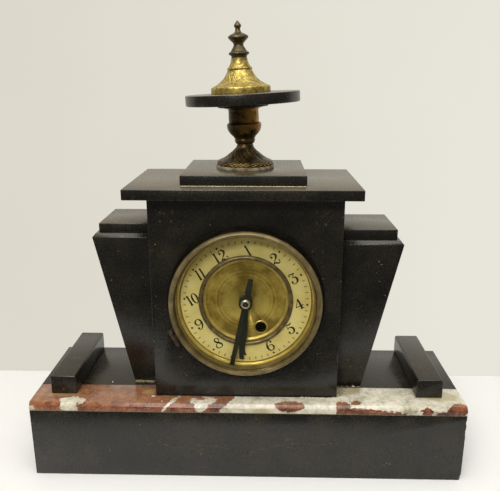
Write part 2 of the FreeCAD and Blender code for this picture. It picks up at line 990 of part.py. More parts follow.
def meshing_phase(line, phase, teeth, other_teeth):
    """Where a tooth of the other wheel stands so that a tooth of this one meets a gap.

    line is the angle from this wheel's centre to the other's.
    """
    offset = (phase - line) * teeth.value / other_teeth.value
    return line + 180 - offset + 180 / other_teeth.value


def angle_between(start, end):
    return math.degrees(math.atan2(end[1] - start[1], end[0] - start[0]))


def crossed_out(wheel, teeth, module, hub, z):
    """Open four windows with straight sides, which leaves four spokes."""
    thick = c.wheel_thickness.value
    rim = (teeth / 2 * module - module * WHEEL_TOOTH_SHARES[1] - c.wheel_rim).value
    half = c.spoke_width.value / 2
    inner, outer = hub + half, rim / math.sqrt(2)
    # Each window is a quarter of a square with its outer corner cut back inside the rim
    reach = math.sqrt(rim * rim - half * half)
    corners = [(half, half), (reach, half), (outer, outer), (half, reach)]
    if inner * 2 > reach:
        return wheel
    corners[0] = (inner, half)
    corners.append((half, inner))
    window = flat_piece(corners, z - thick, thick * 3)
    for angle in (0, 90, 180, 270):
        opening = window.copy()
        opening.rotate(Vector(0, 0, 0), Vector(0, 0, 1), angle)
        wheel = wheel.cut(opening)
    return wheel


def plate_levels():
    """The two plates' faces, from front to back. The first stands behind the case's front."""
    front = -(c.case_wall + c.side_clearance).value
    inner = front - c.plate_thickness.value
    back_inner = inner - c.plate_spacing.value
    return front, inner, back_inner, back_inner - c.plate_thickness.value


def wheel_level(name):
    return plate_levels()[0] - getattr(c, name).value - c.wheel_thickness.value


def pinion_at(module, wheel_z, phase, leaves=None):
    """A pinion whose leaves stand to each side of the wheel that drives it."""
    length, thick = c.pinion_length.value, c.wheel_thickness.value
    return pinion(leaves or c.pinion_leaves, module, wheel_z - (length - thick) / 2, length, phase)


def train_arbor(radius):
    """An arbor whose ends run in both plates."""
    front, _, _, back = plate_levels()
    return faceted(radius, back, front)


def train_wheel(name, place, pinion_module, driver_z, phase, teeth, module, z):
    hub = (pinion_module * c.pinion_leaves / 2).value
    wheel = crossed_out(toothed_wheel(teeth, module, z), teeth, module, hub, z)
    leaves = pinion_at(pinion_module, driver_z, phase)
    feature(name, train_arbor(c.arbor_radius.value).fuse(leaves).fuse(wheel), *place)


def going_train():
    """From the great wheel to the escape wheel, each leaf set in a gap of the wheel before it."""
    places = [barrel_place(), intermediate_place(), (0, 0), third_place(), fourth_place(), escape_place()]
    counts = [c.great_teeth, c.intermediate_teeth, c.centre_teeth, c.third_teeth, c.fourth_teeth]
    phases = [
        meshing_phase(angle_between(places[i], places[i + 1]), 0, count, c.pinion_leaves)
        for i, count in enumerate(counts)
    ]
    great = plate_levels()[0] - c.barrel_back.value
    intermediate = wheel_level("intermediate_level")
    centre = wheel_level("centre_wheel_level")
    third = wheel_level("third_wheel_level")
    fourth = wheel_level("fourth_wheel_level")
    barrel(places[0], great)
    train_wheel(
        "intermediate_wheel",
        places[1],
        c.great_module,
        great,
        phases[0],
        c.intermediate_teeth,
        c.intermediate_module,
        intermediate,
    )
    centre_wheel(centre, intermediate, phases[1])
    train_wheel(
        "third_wheel", places[3], c.centre_module, centre, phases[2], c.third_teeth, c.third_module, third
    )
    train_wheel(
        "fourth_wheel", places[4], c.third_module, third, phases[3], c.fourth_teeth, c.fourth_module, fourth
    )
    escape_wheel(places[5], fourth, phases[4])


def centre_wheel(wheel_z, pinion_z, phase):
    """The centre arbor runs through the cannon to the front of the hands."""
    back = plate_levels()[3]
    tip = c.minute_hand_level + c.minute_hand_thickness + c.collet_thickness + c.arbor_tip
    shape = faceted(c.centre_arbor_radius.value, back, tip.value)
    leaves = pinion_at(c.intermediate_module, pinion_z, phase)
    disc = toothed_wheel(c.centre_teeth, c.centre_module, wheel_z)
    hub = (c.centre_arbor_radius * 2).value
    disc = crossed_out(disc, c.centre_teeth, c.centre_module, hub, wheel_z)
    feature("centre_wheel", shape.fuse(leaves).fuse(disc))


def escape_wheel(place, driver_z, phase):
    """Fifteen raked, pointed teeth."""
    count, radius, depth = round(c.escape_teeth.value), c.escape_radius.value, c.escape_depth.value
    rake, lean = c.escape_rake.value, c.escape_back.value
    corners = []
    for i in range(count):
        angle = i * 360 / count
        for reach, turn in ((radius - depth, -rake), (radius, 0), (radius - depth, lean)):
            corners.append(polar(reach, angle + turn))
    disc = flat_piece(corners, wheel_level("escape_wheel_level"), c.wheel_thickness.value)
    leaves = pinion_at(c.fourth_module, driver_z, phase)
    feature("escape_wheel", train_arbor(c.arbor_radius.value).fuse(leaves).fuse(disc), *place)


def barrel(place, great_z):
    """A closed drum with the great wheel round its back, and the spring inside."""
    radius, wall, sides = c.barrel_radius.value, c.barrel_wall.value, c.barrel_sides
    front, back = great_z + c.barrel_back.value - c.barrel_front.value, great_z
    bore = (c.winding_arbor_radius + c.running_fit).value
    drum = faceted(radius, back, front, sides=sides).cut(
        faceted(radius - wall, back + wall, front - wall, sides=sides)
    )
    drum = drum.cut(faceted_hole(bore, back - wall, front + wall))
    teeth = toothed_wheel(c.great_teeth, c.great_module, great_z)
    teeth = teeth.cut(faceted(radius - wall, great_z, great_z + c.wheel_thickness.value, sides=sides))
    feature("barrel", drum.fuse(teeth), *place)
    clear = c.spring_clearance.value
    low, high = back + wall + clear, front - wall - clear
    spring = faceted(radius - wall, low, high, sides=sides)
    spring = spring.cut(faceted(c.spring_inner_radius.value, low, high, sides=sides))
    feature("mainspring", spring, *place)


def winding_work():
    """The winding arbor with its square and ratchet, and the click."""
    place = barrel_place()
    front, _, _, back = plate_levels()
    ratchet_z, thick = front + c.motion_gap.value, c.ratchet_thickness.value
    radius, root = c.ratchet_radius.value, (c.ratchet_radius - c.ratchet_depth).value
    count = round(c.ratchet_teeth.value)
    corners = []
    for i in range(count):
        angle = i * 360 / count
        corners += [polar(root, angle), polar(radius, angle)]
    ratchet = flat_piece(corners, ratchet_z, thick)
    shaft = faceted(c.winding_arbor_radius.value, back, ratchet_z)
    side, square_z = c.winding_square.value, ratchet_z + thick
    tip = (dial_plate_back() - c.winding_tip_gap).value
    square = Part.makeBox(side, side, tip - square_z, Vector(-side / 2, -side / 2, square_z))
    feature("winding_arbor", shaft.fuse(ratchet).fuse(square), *place)

    length, width = c.click_length.value, c.click_width.value
    arm = flat_piece(
        [(-width / 2, -width / 2), (length, -width / 4), (length, 0), (-width / 2, width / 2)],
        ratchet_z,
        thick,
    )
    hole = faceted_hole((c.arbor_radius + c.running_fit).value, ratchet_z - thick, ratchet_z + thick * 2)
    feature("click", arm.cut(hole), *click_place(), c.click_angle.value - 90)


def click_place():
    """The click's stud stands off square to the radius where its tip meets the ratchet."""
    reach = (c.ratchet_radius + c.click_clearance + c.click_width / 4).value
    touch = polar(reach, c.click_angle.value, barrel_place())
    return polar(c.click_length.value, c.click_angle.value + 90, touch)


def plate_holes():
    """Where arbors run in the plates, with the radius of each hole."""
    fit = c.running_fit.value
    thin = c.arbor_radius.value + fit
    return [
        ((0, 0), c.centre_arbor_radius.value + fit),
        (barrel_place(), c.winding_arbor_radius.value + fit),
        (intermediate_place(), thin),
        (third_place(), thin),
        (fourth_place(), thin),
        (escape_place(), thin),
        (pallet_place(), thin),
    ]


def corners_of_plate():
    """The plates are oblong with the corners cut back."""
    half, tall, corner = c.plate_width.value / 2, c.plate_height.value / 2, c.plate_corner.value
    return [
        (half, tall - corner),
        (half - corner, tall),
        (corner - half, tall),
        (-half, tall - corner),
        (-half, corner - tall),
        (corner - half, -tall),
        (half - corner, -tall),
        (half, corner - tall),
    ]


def pillar_places():
    """A pillar stands inside each cut corner."""
    x = (c.plate_width / 2 - c.pillar_inset).value
    y = (c.plate_height / 2 - c.pillar_inset).value
    return [(x, y), (-x, y), (-x, -y), (x, -y)]


def plates():
    front, inner, back_inner, back = plate_levels()
    thick, thin = c.plate_thickness.value, c.arbor_radius.value
    fit = c.running_fit.value
    for name, z in (("front_plate", inner), ("back_plate", back)):
        plate = flat_piece(corners_of_plate(), z, thick)
        for place, radius in plate_holes():
            plate = plate.cut(faceted_hole(radius, z - thick, z + thick * 2, place))
        staff = thin + fit if name == "front_plate" else c.staff_hole_radius.value
        plate = plate.cut(faceted_hole(staff, z - thick, z + thick * 2, balance_place()))
        if name == "front_plate":
            minute_stud = (c.motion_gap * 3 + c.wheel_thickness * 2).value
            click_stud = (c.motion_gap + c.ratchet_thickness).value
            for place, tall in ((minute_wheel_place(), minute_stud), (click_place(), click_stud)):
                plate = plate.fuse(faceted(thin, front - thick / 2, front + tall, place))
        feature(name, plate)
    radius = c.pillar_radius.value
    group("plate_pillars", [faceted(radius, back_inner, inner, p, c.hexagon_sides) for p in pillar_places()])
    dial_back = dial_plate_back().value
    radius = c.foot_radius.value
    group("dial_feet", [faceted(radius, front, dial_back, p, c.hexagon_sides) for p in pillar_places()])


def dial_plate_back():
    return -c.dial_level + c.dial_ring_thickness - c.pan_sink - c.pan_sheet


def group(name, shapes):
    thing = doc.addObject("Part::Feature", name)
    thing.Shape = Part.makeCompound(shapes)
    in_unit(thing)
    return keep(name, thing)


def case_back_level():
    """The outer face of the case's back, in the unit's frame."""
    return -(c.base_depth - c.case_front_setback - c.case_back_setback)


def at_sides(shape):
    """A copy at the dial's 3 o'clock and one at its 9 o'clock."""
    other = shape.copy()
    other.rotate(Vector(0, 0, 0), Vector(0, 0, 1), 180)
    return [shape, other]


def straps():
    """Two brass straps tie the dial plate to the ring in the case's back."""
    outer, thick = strap_circle().value, c.strap_thickness.value
    wide, foot = c.strap_width.value, c.strap_foot.value
    front, back = dial_plate_back().value, case_back_level().value
    strap = profile_across([
        (outer - foot, front - thick),
        (outer - foot, front),
        (outer, front),
        (outer, back),
        (outer - foot, back),
        (outer - foot, back + thick),
        (outer - thick, back + thick),
        (outer - thick, front - thick),
    ], wide)
    hole = faceted_hole((c.screw_radius + c.running_fit).value, back, back + thick, (screw_circle(), 0))
    group("movement_straps", at_sides(strap.cut(hole)))


def profile_across(points, width):
    """A shape with one outline in x and z, centred on y."""
    corners = [Vector(x, -width / 2, z) for x, z in points]
    return Part.Face(Part.makePolygon(corners + corners[:1])).extrude(Vector(0, width, 0))


def screw_circle():
    return (strap_circle() - (c.strap_foot + c.strap_thickness) / 2).value


def screws():
    """A screw through the back ring into each strap."""
    back = (case_back_level() - c.back_ring_thickness).value
    top = (case_back_level() + c.strap_thickness * 2).value
    head = faceted(c.screw_head_radius.value, back - c.screw_head_height.value, back, (screw_circle(), 0))
    shank = faceted(c.screw_radius.value, back, top, (screw_circle(), 0))
    group("strap_screws", at_sides(head.fuse(shank)))


def back_ring_and_door():
    face = case_back_level()
    back = face - c.back_ring_thickness
    bore, outer = back_ring_bore(), back_ring_radius()
    ring = turned_shape([(bore, back), (outer, back), (outer, face), (bore, face)])
    hole = faceted_hole((c.screw_radius + c.running_fit).value, back.value, face.value, (screw_circle(), 0))
    for tool in at_sides(hole):
        ring = ring.cut(tool)
    level = back - c.back_hinge_drop
    reach = (outer - c.back_ring_thickness).value
    feature("back_ring", with_fixed_knuckles(ring, back_hinge_offset(), level, reach, back.value))

    far = back - c.side_clearance - c.back_hinge_drop / 2
    thick, radius = c.back_door_thickness, bore + c.back_door_lap
    disc = Part.makeCylinder(radius.value, thick.value, Vector(0, 0, (far - thick).value))
    knob_z = (far - thick - c.back_knob_height).value
    place = Vector((radius - c.back_knob_inset).value, 0, knob_z)
    knob = Part.makeCylinder(c.back_knob_radius.value, c.back_knob_height.value, place)
    reach = (radius - thick).value
    leaf_z = (far - thick).value
    shape = with_moving_knuckle(disc.fuse(knob), back_hinge_offset(), level, reach, leaf_z)
    feature("back_door", shape)


def hinge_pins():
    back_level = case_back_level() - c.back_ring_thickness - c.back_hinge_drop
    radius = c.hinge_pin_radius.value
    start = -hinge_span() / 2
    places = ((hinge_offset(), c.hinge_level), (back_hinge_offset(), back_level))
    group("hinge_pins", [
        Part.makeCylinder(radius, hinge_span(), Vector(-x.value, start, z.value), Vector(0, 1, 0))
        for x, z in places
    ])


def bar(z, thickness, width, angle, start, end):
    """A flat bar along a ray from the origin."""
    box = Part.makeBox(end - start, width, thickness, Vector(start, -width / 2, z))
    box.rotate(Vector(0, 0, 0), Vector(0, 0, 1), angle)
    return box


def pallet_lever():
    """Anchor with two pallets by the escape wheel, and a fork that stops short of the roller."""
    z, thick = wheel_level("escape_wheel_level"), c.wheel_thickness.value
    place = pallet_place()
    to_escape = angle_between(place, escape_place())
    to_balance = angle_between(place, balance_place())
    reach, stone, width = c.pallet_reach.value, c.pallet_width.value, c.lever_width.value
    length, fork = c.lever_length.value, c.fork_width.value
    shape = train_arbor(c.arbor_radius.value)
    for side in (-1, 1):
        angle = to_escape + side * c.pallet_spread.value
        shape = shape.fuse(bar(z, thick, width, angle, 0.0, reach))
        pallet = bar(z, thick, stone, to_escape, 0.0, c.pallet_length.value)
        pallet.translate(Vector(*polar(reach - stone / 2, angle), 0))
        shape = shape.fuse(pallet)
    shape = shape.fuse(bar(z, thick, width, to_balance, 0.0, length - fork))
    head = bar(z, thick, fork, to_balance, length - fork, length)
    notch = bar(z, thick, fork / 3, to_balance, length - fork / 2, length)
    feature("pallet_lever", shape.fuse(head.cut(notch)), *place)


def balance():
    """Rim, crossbar, staff and impulse pin, with the hairspring behind."""
    place = balance_place()
    front, _, _, back = plate_levels()
    radius, rim, thick = c.balance_radius.value, c.balance_rim.value, c.balance_thickness.value
    z = back - c.balance_gap.value - thick
    wheel = faceted(radius, z, z + thick, sides=c.barrel_sides).cut(
        faceted(radius - rim, z, z + thick, sides=c.barrel_sides)
    )
    wheel = wheel.fuse(bar(z, thick / 2, rim, 0, rim / 2 - radius, radius - rim / 2))
    end = back - c.cock_height.value + c.cock_thickness.value / 2
    staff = faceted(c.arbor_radius.value, end, front)
    width = c.lever_width.value
    level = wheel_level("escape_wheel_level") - c.motion_gap.value - c.wheel_thickness.value
    angle = angle_between(place, pallet_place())
    reach = c.impulse_reach.value
    arm = bar(level, c.wheel_thickness.value, width, angle, 0.0, reach)
    tall = c.motion_gap.value + c.wheel_thickness.value * 2
    impulse = bar(level, tall, c.impulse_width.value, angle, reach - c.impulse_width.value, reach)
    feature("balance_wheel", staff.fuse(wheel).fuse(arm).fuse(impulse), *place)
    hairspring(place, z - c.hairspring_lift.value)


def hairspring(place, top):
    """A flat spiral strip, from the staff outwards."""
    steps = round((c.hairspring_turns * c.small_round_sides).value)
    inner, outer = c.hairspring_collet.value, c.hairspring_radius.value
    strip, tall = c.hairspring_strip.value, c.hairspring_height.value
    turn = 360 / c.small_round_sides.value

    def edge(side):
        return [polar(inner + (outer - inner) * i / steps + side, i * turn) for i in range(steps + 1)]

    feature("hairspring", flat_piece(edge(0) + edge(strip)[::-1], top - tall, tall), *place)


def cock_direction():
    """The cock's foot stands to one side of the line from the dial's centre to the balance."""
    return angle_between((0, 0), balance_place()) + c.cock_angle.value


def cock_and_regulator():
    """A bridge behind the back plate that carries the balance staff, and the regulator on it."""
    place, back = balance_place(), plate_levels()[3]
    tall, thick, wide = c.cock_height.value, c.cock_thickness.value, c.cock_width.value
    reach, foot = c.cock_reach.value, c.cock_foot.value
    shape = profile_across([
        (-wide / 2, -tall),
        (reach, -tall),
        (reach, 0),
        (reach - foot, 0),
        (reach - foot, thick - tall),
        (-wide / 2, thick - tall),
    ], wide)
    shape.translate(Vector(0, 0, back))
    low, gap = back - tall, c.motion_gap.value
    boss = faceted(c.cock_boss_radius.value, low - gap - c.regulator_thickness.value, low)
    pivot = faceted_hole((c.arbor_radius + c.running_fit).value, low + thick / 2 - gap, low + thick)
    feature("balance_cock", shape.fuse(boss).cut(pivot), *place, cock_direction())

    level, thick = low - gap / 2 - c.regulator_thickness.value, c.regulator_thickness.value
    pointer = bar(level, thick, c.regulator_width.value, 0, 0.0, c.regulator_length.value)
    ring = faceted(c.regulator_ring_radius.value, level, level + thick).fuse(pointer)
    hole = faceted_hole((c.cock_boss_radius + c.running_fit).value, level, level + thick)
    feature("regulator", ring.cut(hole), *place, cock_direction() + 180)


def motion_works():
    """The cannon pinion drives the minute wheel, whose pinion drives the hour wheel."""
    front = plate_levels()[0]
    gap, thick, fit = c.motion_gap.value, c.wheel_thickness.value, c.running_fit.value
    lower, upper = front + gap, front + gap * 2 + thick
    place = minute_wheel_place()
    line = angle_between((0, 0), place)
    spin = -c.minute_hand_angle.value
    leaves = pinion(c.cannon_teeth, c.motion_module, lower, thick)
    top = (c.minute_hand_level + c.minute_hand_thickness).value
    pipe = faceted(c.cannon_radius.value, lower, top)
    bore = faceted_hole(c.centre_arbor_radius.value + fit, lower, top)
    feature("cannon_pinion", leaves.fuse(pipe).cut(bore), 0, 0, spin)

    # One of the cannon's leaves stands at the spin angle
    phase = meshing_phase(line, spin, c.cannon_teeth, c.minute_wheel_teeth)
    wheel = toothed_wheel(c.minute_wheel_teeth, c.motion_module, lower, phase)
    leaves = pinion(c.minute_pinion_leaves, c.motion_module, lower + thick, thick + gap)
    hole = faceted_hole(c.arbor_radius.value + fit, lower, upper + thick)
    feature("minute_wheel", wheel.fuse(leaves).cut(hole), *place)

    phase = meshing_phase(line + 180, 0, c.minute_pinion_leaves, c.hour_wheel_teeth)
    turn = -c.hour_hand_angle.value
    wheel = toothed_wheel(c.hour_wheel_teeth, c.motion_module, upper, phase - turn)
    top = (c.hour_hand_level + c.hour_hand_thickness).value
    pipe = faceted(c.hour_pipe_radius.value, upper, top)
    bore = faceted_hole(c.cannon_radius.value + fit, upper, top)
    feature("hour_wheel", wheel.fuse(pipe).cut(bore), 0, 0, turn)


def hand(name, level, thick, length, width, boss, bore, angle, tail=0.0):
    """A flat hand on a round boss, with a tail if it has one. The bore fits the pipe's flats."""
    root, tip = c.hand_root_width.value, c.hand_tip_width.value
    outline = [
        (-root / 2, 0),
        (-width / 2, length / 2),
        (-tip / 2, length),
        (tip / 2, length),
        (width / 2, length / 2),
        (root / 2, 0),
    ]
    if tail:
        wide = c.hand_tail_width.value / 2
        outline += [(wide, -boss / 2), (width / 2, -tail), (-width / 2, -tail), (-wide, -boss / 2)]
    shape = flat_piece(outline, level, thick).fuse(Part.makeCylinder(boss, thick, Vector(0, 0, level)))
    shape = shape.cut(faceted(bore, level, level + thick))
    feature(name, shape, 0, 0, -angle)


def hands():
    boss = c.hand_boss_radius.value
    hand(
        "minute_hand",
        c.minute_hand_level.value,
        c.minute_hand_thickness.value,
        c.minute_hand_length.value,
        c.minute_hand_width.value,
        boss,
        c.cannon_radius.value,
        c.minute_hand_angle.value,
        c.hand_tail_length.value,
    )
    hand(
        "hour_hand",
        c.hour_hand_level.value,
        c.hour_hand_thickness.value,
        c.hour_hand_length.value,
        c.hour_hand_width.value,
        boss,
        c.hour_pipe_radius.value,
        c.hour_hand_angle.value,
    )
    top = c.minute_hand_level + c.minute_hand_thickness
    bore = c.centre_arbor_radius + c.running_fit
    collet = flat_turning([
        (bore, top),
        (c.collet_radius, top),
        (c.collet_foot_radius, top + c.collet_thickness),
        (bore, top + c.collet_thickness),
    ], c.barrel_sides)
    feature("hand_collet", collet, 0, 0, -c.minute_hand_angle.value)


def check():
    """Stop where anything failed, before a file is written."""
    doc.recompute()
    for thing in doc.Objects:
        bad = [state for state in thing.State if state in ("Invalid", "Error")]
        if bad:
            raise RuntimeError(f"{thing.Name} is {bad}")
    for name, thing in nodes.items():
        if thing.Shape.isNull() or not thing.Shape.isValid() or not thing.Shape.Solids:
            raise RuntimeError(f"{name} has no valid solid")


def write():
    os.makedirs("parts", exist_ok=True)
    for name, thing in nodes.items():
        thing.Shape.exportStep(f"parts/{name}.step")
    print(f"{len(nodes)} sub-parts, {sum(len(n.Shape.Solids) for n in nodes.values())} solids")


plinth()
end_bars()
case()
case_top()
wings()
urn()
bezel_seat()
bezel_door()
dial()
going_train()
winding_work()
plates()
straps()
screws()
back_ring_and_door()
hinge_pins()
pallet_lever()
balance()
cock_and_regulator()
motion_works()
hands()
check()
write()
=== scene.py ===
import json
import math
import random

import bmesh
import bpy
from mathutils import Matrix, Vector, noise


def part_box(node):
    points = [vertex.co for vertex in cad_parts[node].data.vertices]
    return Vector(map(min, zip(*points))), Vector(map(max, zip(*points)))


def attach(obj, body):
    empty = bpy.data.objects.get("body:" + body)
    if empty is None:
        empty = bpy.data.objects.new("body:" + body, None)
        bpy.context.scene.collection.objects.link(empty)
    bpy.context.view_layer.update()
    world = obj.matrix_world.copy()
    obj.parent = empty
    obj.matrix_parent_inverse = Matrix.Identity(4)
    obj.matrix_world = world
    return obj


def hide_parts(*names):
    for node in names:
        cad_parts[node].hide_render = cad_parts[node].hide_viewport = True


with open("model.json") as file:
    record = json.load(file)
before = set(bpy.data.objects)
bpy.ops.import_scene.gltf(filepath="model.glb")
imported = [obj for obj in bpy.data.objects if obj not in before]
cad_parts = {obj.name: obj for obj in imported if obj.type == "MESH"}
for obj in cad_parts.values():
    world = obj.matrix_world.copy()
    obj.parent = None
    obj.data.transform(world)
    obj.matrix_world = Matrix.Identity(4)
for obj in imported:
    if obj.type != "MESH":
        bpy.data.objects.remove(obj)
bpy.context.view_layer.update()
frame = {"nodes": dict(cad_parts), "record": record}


# The plinth: a hollow box of slate slabs, sawn, rubbed flat and oiled, then cemented at the butt
# joints. Its arrises are only just taken off with a stone, and they chip when the clock is moved.
MM = 0.001


def linear(code):
    """An sRGB colour, such as "8a4a38", as the linear colour that a shader takes."""
    parts = [int(code[i:i + 2], 16) / 255 for i in (0, 2, 4)]
    return tuple(p / 12.92 if p <= 0.04045 else ((p + 0.055) / 1.055) ** 2.4 for p in parts) + (1,)


def plug(node, inputs):
    """Sets a node's sockets: a node or its output is linked, and anything else is a value."""
    for name, value in inputs.items():
        if isinstance(value, bpy.types.Node):
            value = next(output for output in value.outputs if output.enabled)
        if isinstance(value, bpy.types.NodeSocket):
            node.id_data.links.new(value, node.inputs[name])
        else:
            node.inputs[name].default_value = linear(value) if isinstance(value, str) else value


def add(tree, kind, inputs=None, stops=(), **settings):
    """Adds a node with its settings, its sockets and, on a ramp, its stops. A colour Mix has its
    share in socket 0 and its two colours in sockets 6 and 7."""
    node = tree.nodes.new("ShaderNode" + kind)
    for name, value in settings.items():
        setattr(node, name, value)
    plug(node, inputs or {})
    for number, (place, code) in enumerate(stops):
        marks = node.color_ramp.elements
        mark = marks[number] if number < 2 else marks.new(place)
        mark.position, mark.color = place, linear(code)
    return node


def finish_called(name):
    """A new material, its node tree, its shader and the place on the object, in metres."""
    made = bpy.data.materials.new(name)
    made.use_nodes = True
    tree = made.node_tree
    return made, tree, tree.nodes["Principled BSDF"], add(tree, "TexCoord").outputs["Object"]


def every(size):
    """The scale of a pattern whose grains or clouds are so many mm across."""
    return 1 / (size * MM)


# Belgian black slate, rubbed and oiled: almost black, faintly brown, with cloudy wipe marks in
# its satin gloss, a fine grain and pale dust in the pores. A pale dust film lies on its level faces,
# thinner the lower they are, so that the low tops stay darker as painted shade. The real grain is
# under 0.1 mm and is drawn 1.3 mm across, so that it shows.
slate, tree, shader, at = finish_called("slate_rubbed_and_oiled")
clouds = add(tree, "TexNoise", {"Vector": at, "Scale": every(35.71), "Detail": 6, "Roughness": 0.62})
grain = add(tree, "TexNoise", {"Vector": at, "Scale": every(1.333), "Detail": 4, "Roughness": 0.7})
specks = add(tree, "TexVoronoi", {"Vector": at, "Scale": every(4)})
rare = add(tree, "TexNoise", {"Vector": at, "Scale": every(10.53), "Detail": 2})
blend = add(tree, "Math", {0: grain, 1: 1.1, 2: clouds}, operation="MULTIPLY_ADD")
tone = add(tree, "ValToRGB", {
    "Fac": add(tree, "MapRange", {"Value": blend, "From Min": 0.75, "From Max": 1.4})},
    [(0.15, "0f0d0a"), (0.5, "1b1811"), (0.85, "2c271b")])
dot = add(tree, "ValToRGB", {"Fac": specks}, [(0.11, "ffffff"), (0.20, "000000")])
thin = add(tree, "ValToRGB", {"Fac": rare}, [(0.58, "000000"), (0.70, "ffffff")])
dust = add(tree, "Math", {0: dot, 1: thin}, operation="MULTIPLY")
facing = add(tree, "SeparateXYZ", {"Vector": add(tree, "NewGeometry").outputs["Normal"]})
lying = add(tree, "MapRange", {"Value": facing.outputs["Z"], "From Min": 0.7})
height = add(tree, "SeparateXYZ", {"Vector": at})
# Dust on level faces, thinned towards the low tops: painted shade that keeps the plinth top darker
# under the case.
dust_and_shade_by_height = add(tree, "MapRange", {
    "Value": height.outputs["Z"], "From Min": 0.06, "From Max": 0.27, "To Min": 0.02, "To Max": 0.46})
dust_and_shade_on_level = add(tree, "Math", {0: lying, 1: dust_and_shade_by_height}, operation="MULTIPLY")
film = add(tree, "Math", {0: dust_and_shade_on_level, 1: clouds}, operation="MULTIPLY")
veil = add(tree, "Math", {0: dust, 1: 0.5, 2: film}, operation="MULTIPLY_ADD")
plug(shader, {
    "Base Color": add(tree, "Mix", {0: veil, 6: tone, 7: "a08c64"}, data_type="RGBA"),
    "Roughness": add(tree, "MapRange", {
        "Value": blend, "From Min": 0.8, "From Max": 1.35, "To Min": 0.2, "To Max": 0.36}),
    "IOR": 1.5,
    "Normal": add(tree, "Bump", {"Height": grain, "Strength": 0.22, "Distance": 0.3 * MM})})


def mottled(name, grain, detail, lumpy, stops, bump=None, **sockets):
    """A finish that one noise mottles. The noise has its grain in mm, its detail and roughness,
    and the bump its strength and its depth in mm. The shader's own sockets come last."""
    made, tree, shader, at = finish_called(name)
    mottle = add(tree, "TexNoise", {
        "Vector": at, "Scale": every(grain), "Detail": detail, "Roughness": lumpy})
    plug(shader, {"Base Color": add(tree, "ValToRGB", {"Fac": mottle}, stops), **sockets})
    if bump:
        plug(shader, {"Normal": add(tree, "Bump", {
            "Height": mottle, "Strength": bump[0], "Distance": bump[1] * MM})})
    return made


# A fresh break of the same slate: matt, grey and splintery.
broken_slate = mottled(
    "slate_broken_edge", 1.429, 6, 0.7, [(0.3, "2c2b27"), (0.55, "4a4840"), (0.75, "7c796e")],
    (0.6, 0.5), Roughness=0.75, IOR=1.52)


def linked(name, data):
    """A new object in the scene."""
    made = bpy.data.objects.new(name, data)
    bpy.context.scene.collection.objects.link(made)
    return made


def placed(mesh, slot, *nodes, body="clock_case"):
    """Makes the mesh a piece of its name, which rides on a body and stands for CAD nodes."""
    piece = linked(mesh.name, mesh)
    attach(piece, body)
    if nodes:
        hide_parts(*nodes)
    return piece


def mesh_of(work, name, finish):
    """The work as a mesh in its finish."""
    mesh = bpy.data.meshes.new(name)
    work.to_mesh(mesh)
    work.free()
    mesh.materials.append(finish)
    return mesh


def smoothed(mesh, sharp):
    """The mesh, shaded smooth but for the arrises sharper than so many degrees."""
    mesh.shade_smooth()
    mesh.set_sharp_from_angle(angle=math.radians(sharp))
    return mesh


def eased_copy(node, name, ease, finish, slot):
    """The CAD node's own shape as a new piece, with its arrises taken off by ease, in mm."""
    work = bmesh.new()
    work.from_mesh(frame["nodes"][node].data)
    bmesh.ops.remove_doubles(work, verts=work.verts, dist=0.01 * MM)
    bmesh.ops.dissolve_limit(work, angle_limit=math.radians(1), verts=work.verts, edges=work.edges)
    arrises = [e for e in work.edges
               if len(e.link_faces) == 2 and e.calc_face_angle(0) > math.radians(32)]
    bmesh.ops.bevel(work, geom=arrises, offset=ease * MM, offset_type="OFFSET", segments=2,
                    profile=0.5, affect="EDGES", clamp_overlap=True)
    bodies = frame["record"]["behaviour"]["bodies"]
    body = next(body for body, members in bodies.items() if node in members)
    return placed(smoothed(mesh_of(work, name, finish), 35), slot, node, body=body)


def slab(node, name, ease=0.5):
    """A slate slab of the CAD node's shape."""
    return eased_copy(node, name, ease, slate, "slate")


def cut_into(piece, cutters):
    """Takes the cutters out of the piece. The cut faces keep the cutters' finish."""
    for cutter in cutters:
        step = piece.modifiers.new("cut", "BOOLEAN")
        step.operation, step.solver, step.object = "DIFFERENCE", "EXACT", cutter
        step.material_mode, step.use_self = "TRANSFER", True
    seen = piece.evaluated_get(bpy.context.evaluated_depsgraph_get())
    mesh = bpy.data.meshes.new_from_object(seen)
    piece.modifiers.clear()
    piece.data = mesh
    for cutter in cutters:
        bpy.data.objects.remove(cutter)


def flake(x, y, z, size, seed):
    """A rough lump, whose bite out of an arris is a chip."""
    work = bmesh.new()
    bmesh.ops.create_icosphere(work, subdivisions=3, radius=1)
    for vert in work.verts:
        swell = 1 + 0.45 * noise.noise(vert.co * 1.7 + Vector((seed, seed * 0.7, 0)))
        vert.co = Vector([c * s * swell * MM for c, s in zip(vert.co, size)])
        vert.co += Vector((x, y, z)) * MM
    return linked("flake", mesh_of(work, "flake", broken_slate))


# The plinth's front carries an incised spray: a stem with two drawn-out branches, short shoots
# and small drilled dots, once gilded. The gilding is worn to a matt brown.
worn_gilding = mottled(
    "gilding_worn_brown", 2.5, 5, 0.7, [(0.36, "1d1914"), (0.52, "3a3124"), (0.7, "5c4f3a")],
    Roughness=0.7, IOR=1.5)


def curved(points, steps=5):
    """A smooth line through the points, each run cut into steps."""
    ends = [points[0]] + list(points) + [points[-1]]
    line = []
    for a, b, c, d in zip(ends, ends[1:], ends[2:], ends[3:]):
        for i in range(steps):
            t = i / steps
            line.append(tuple(
                0.5 * (2 * q + (r - p) * t + (2 * p - 5 * q + 4 * r - s) * t * t
                       + (3 * q - p - 3 * r + s) * t ** 3)
                for p, q, r, s in zip(a, b, c, d)))
    return line + [tuple(points[-1])]


def as_cutter(work, finish):
    """The work as an object that cut_into takes away."""
    bmesh.ops.recalc_face_normals(work, faces=work.faces)
    return linked("cutter", mesh_of(work, "cutter", finish))


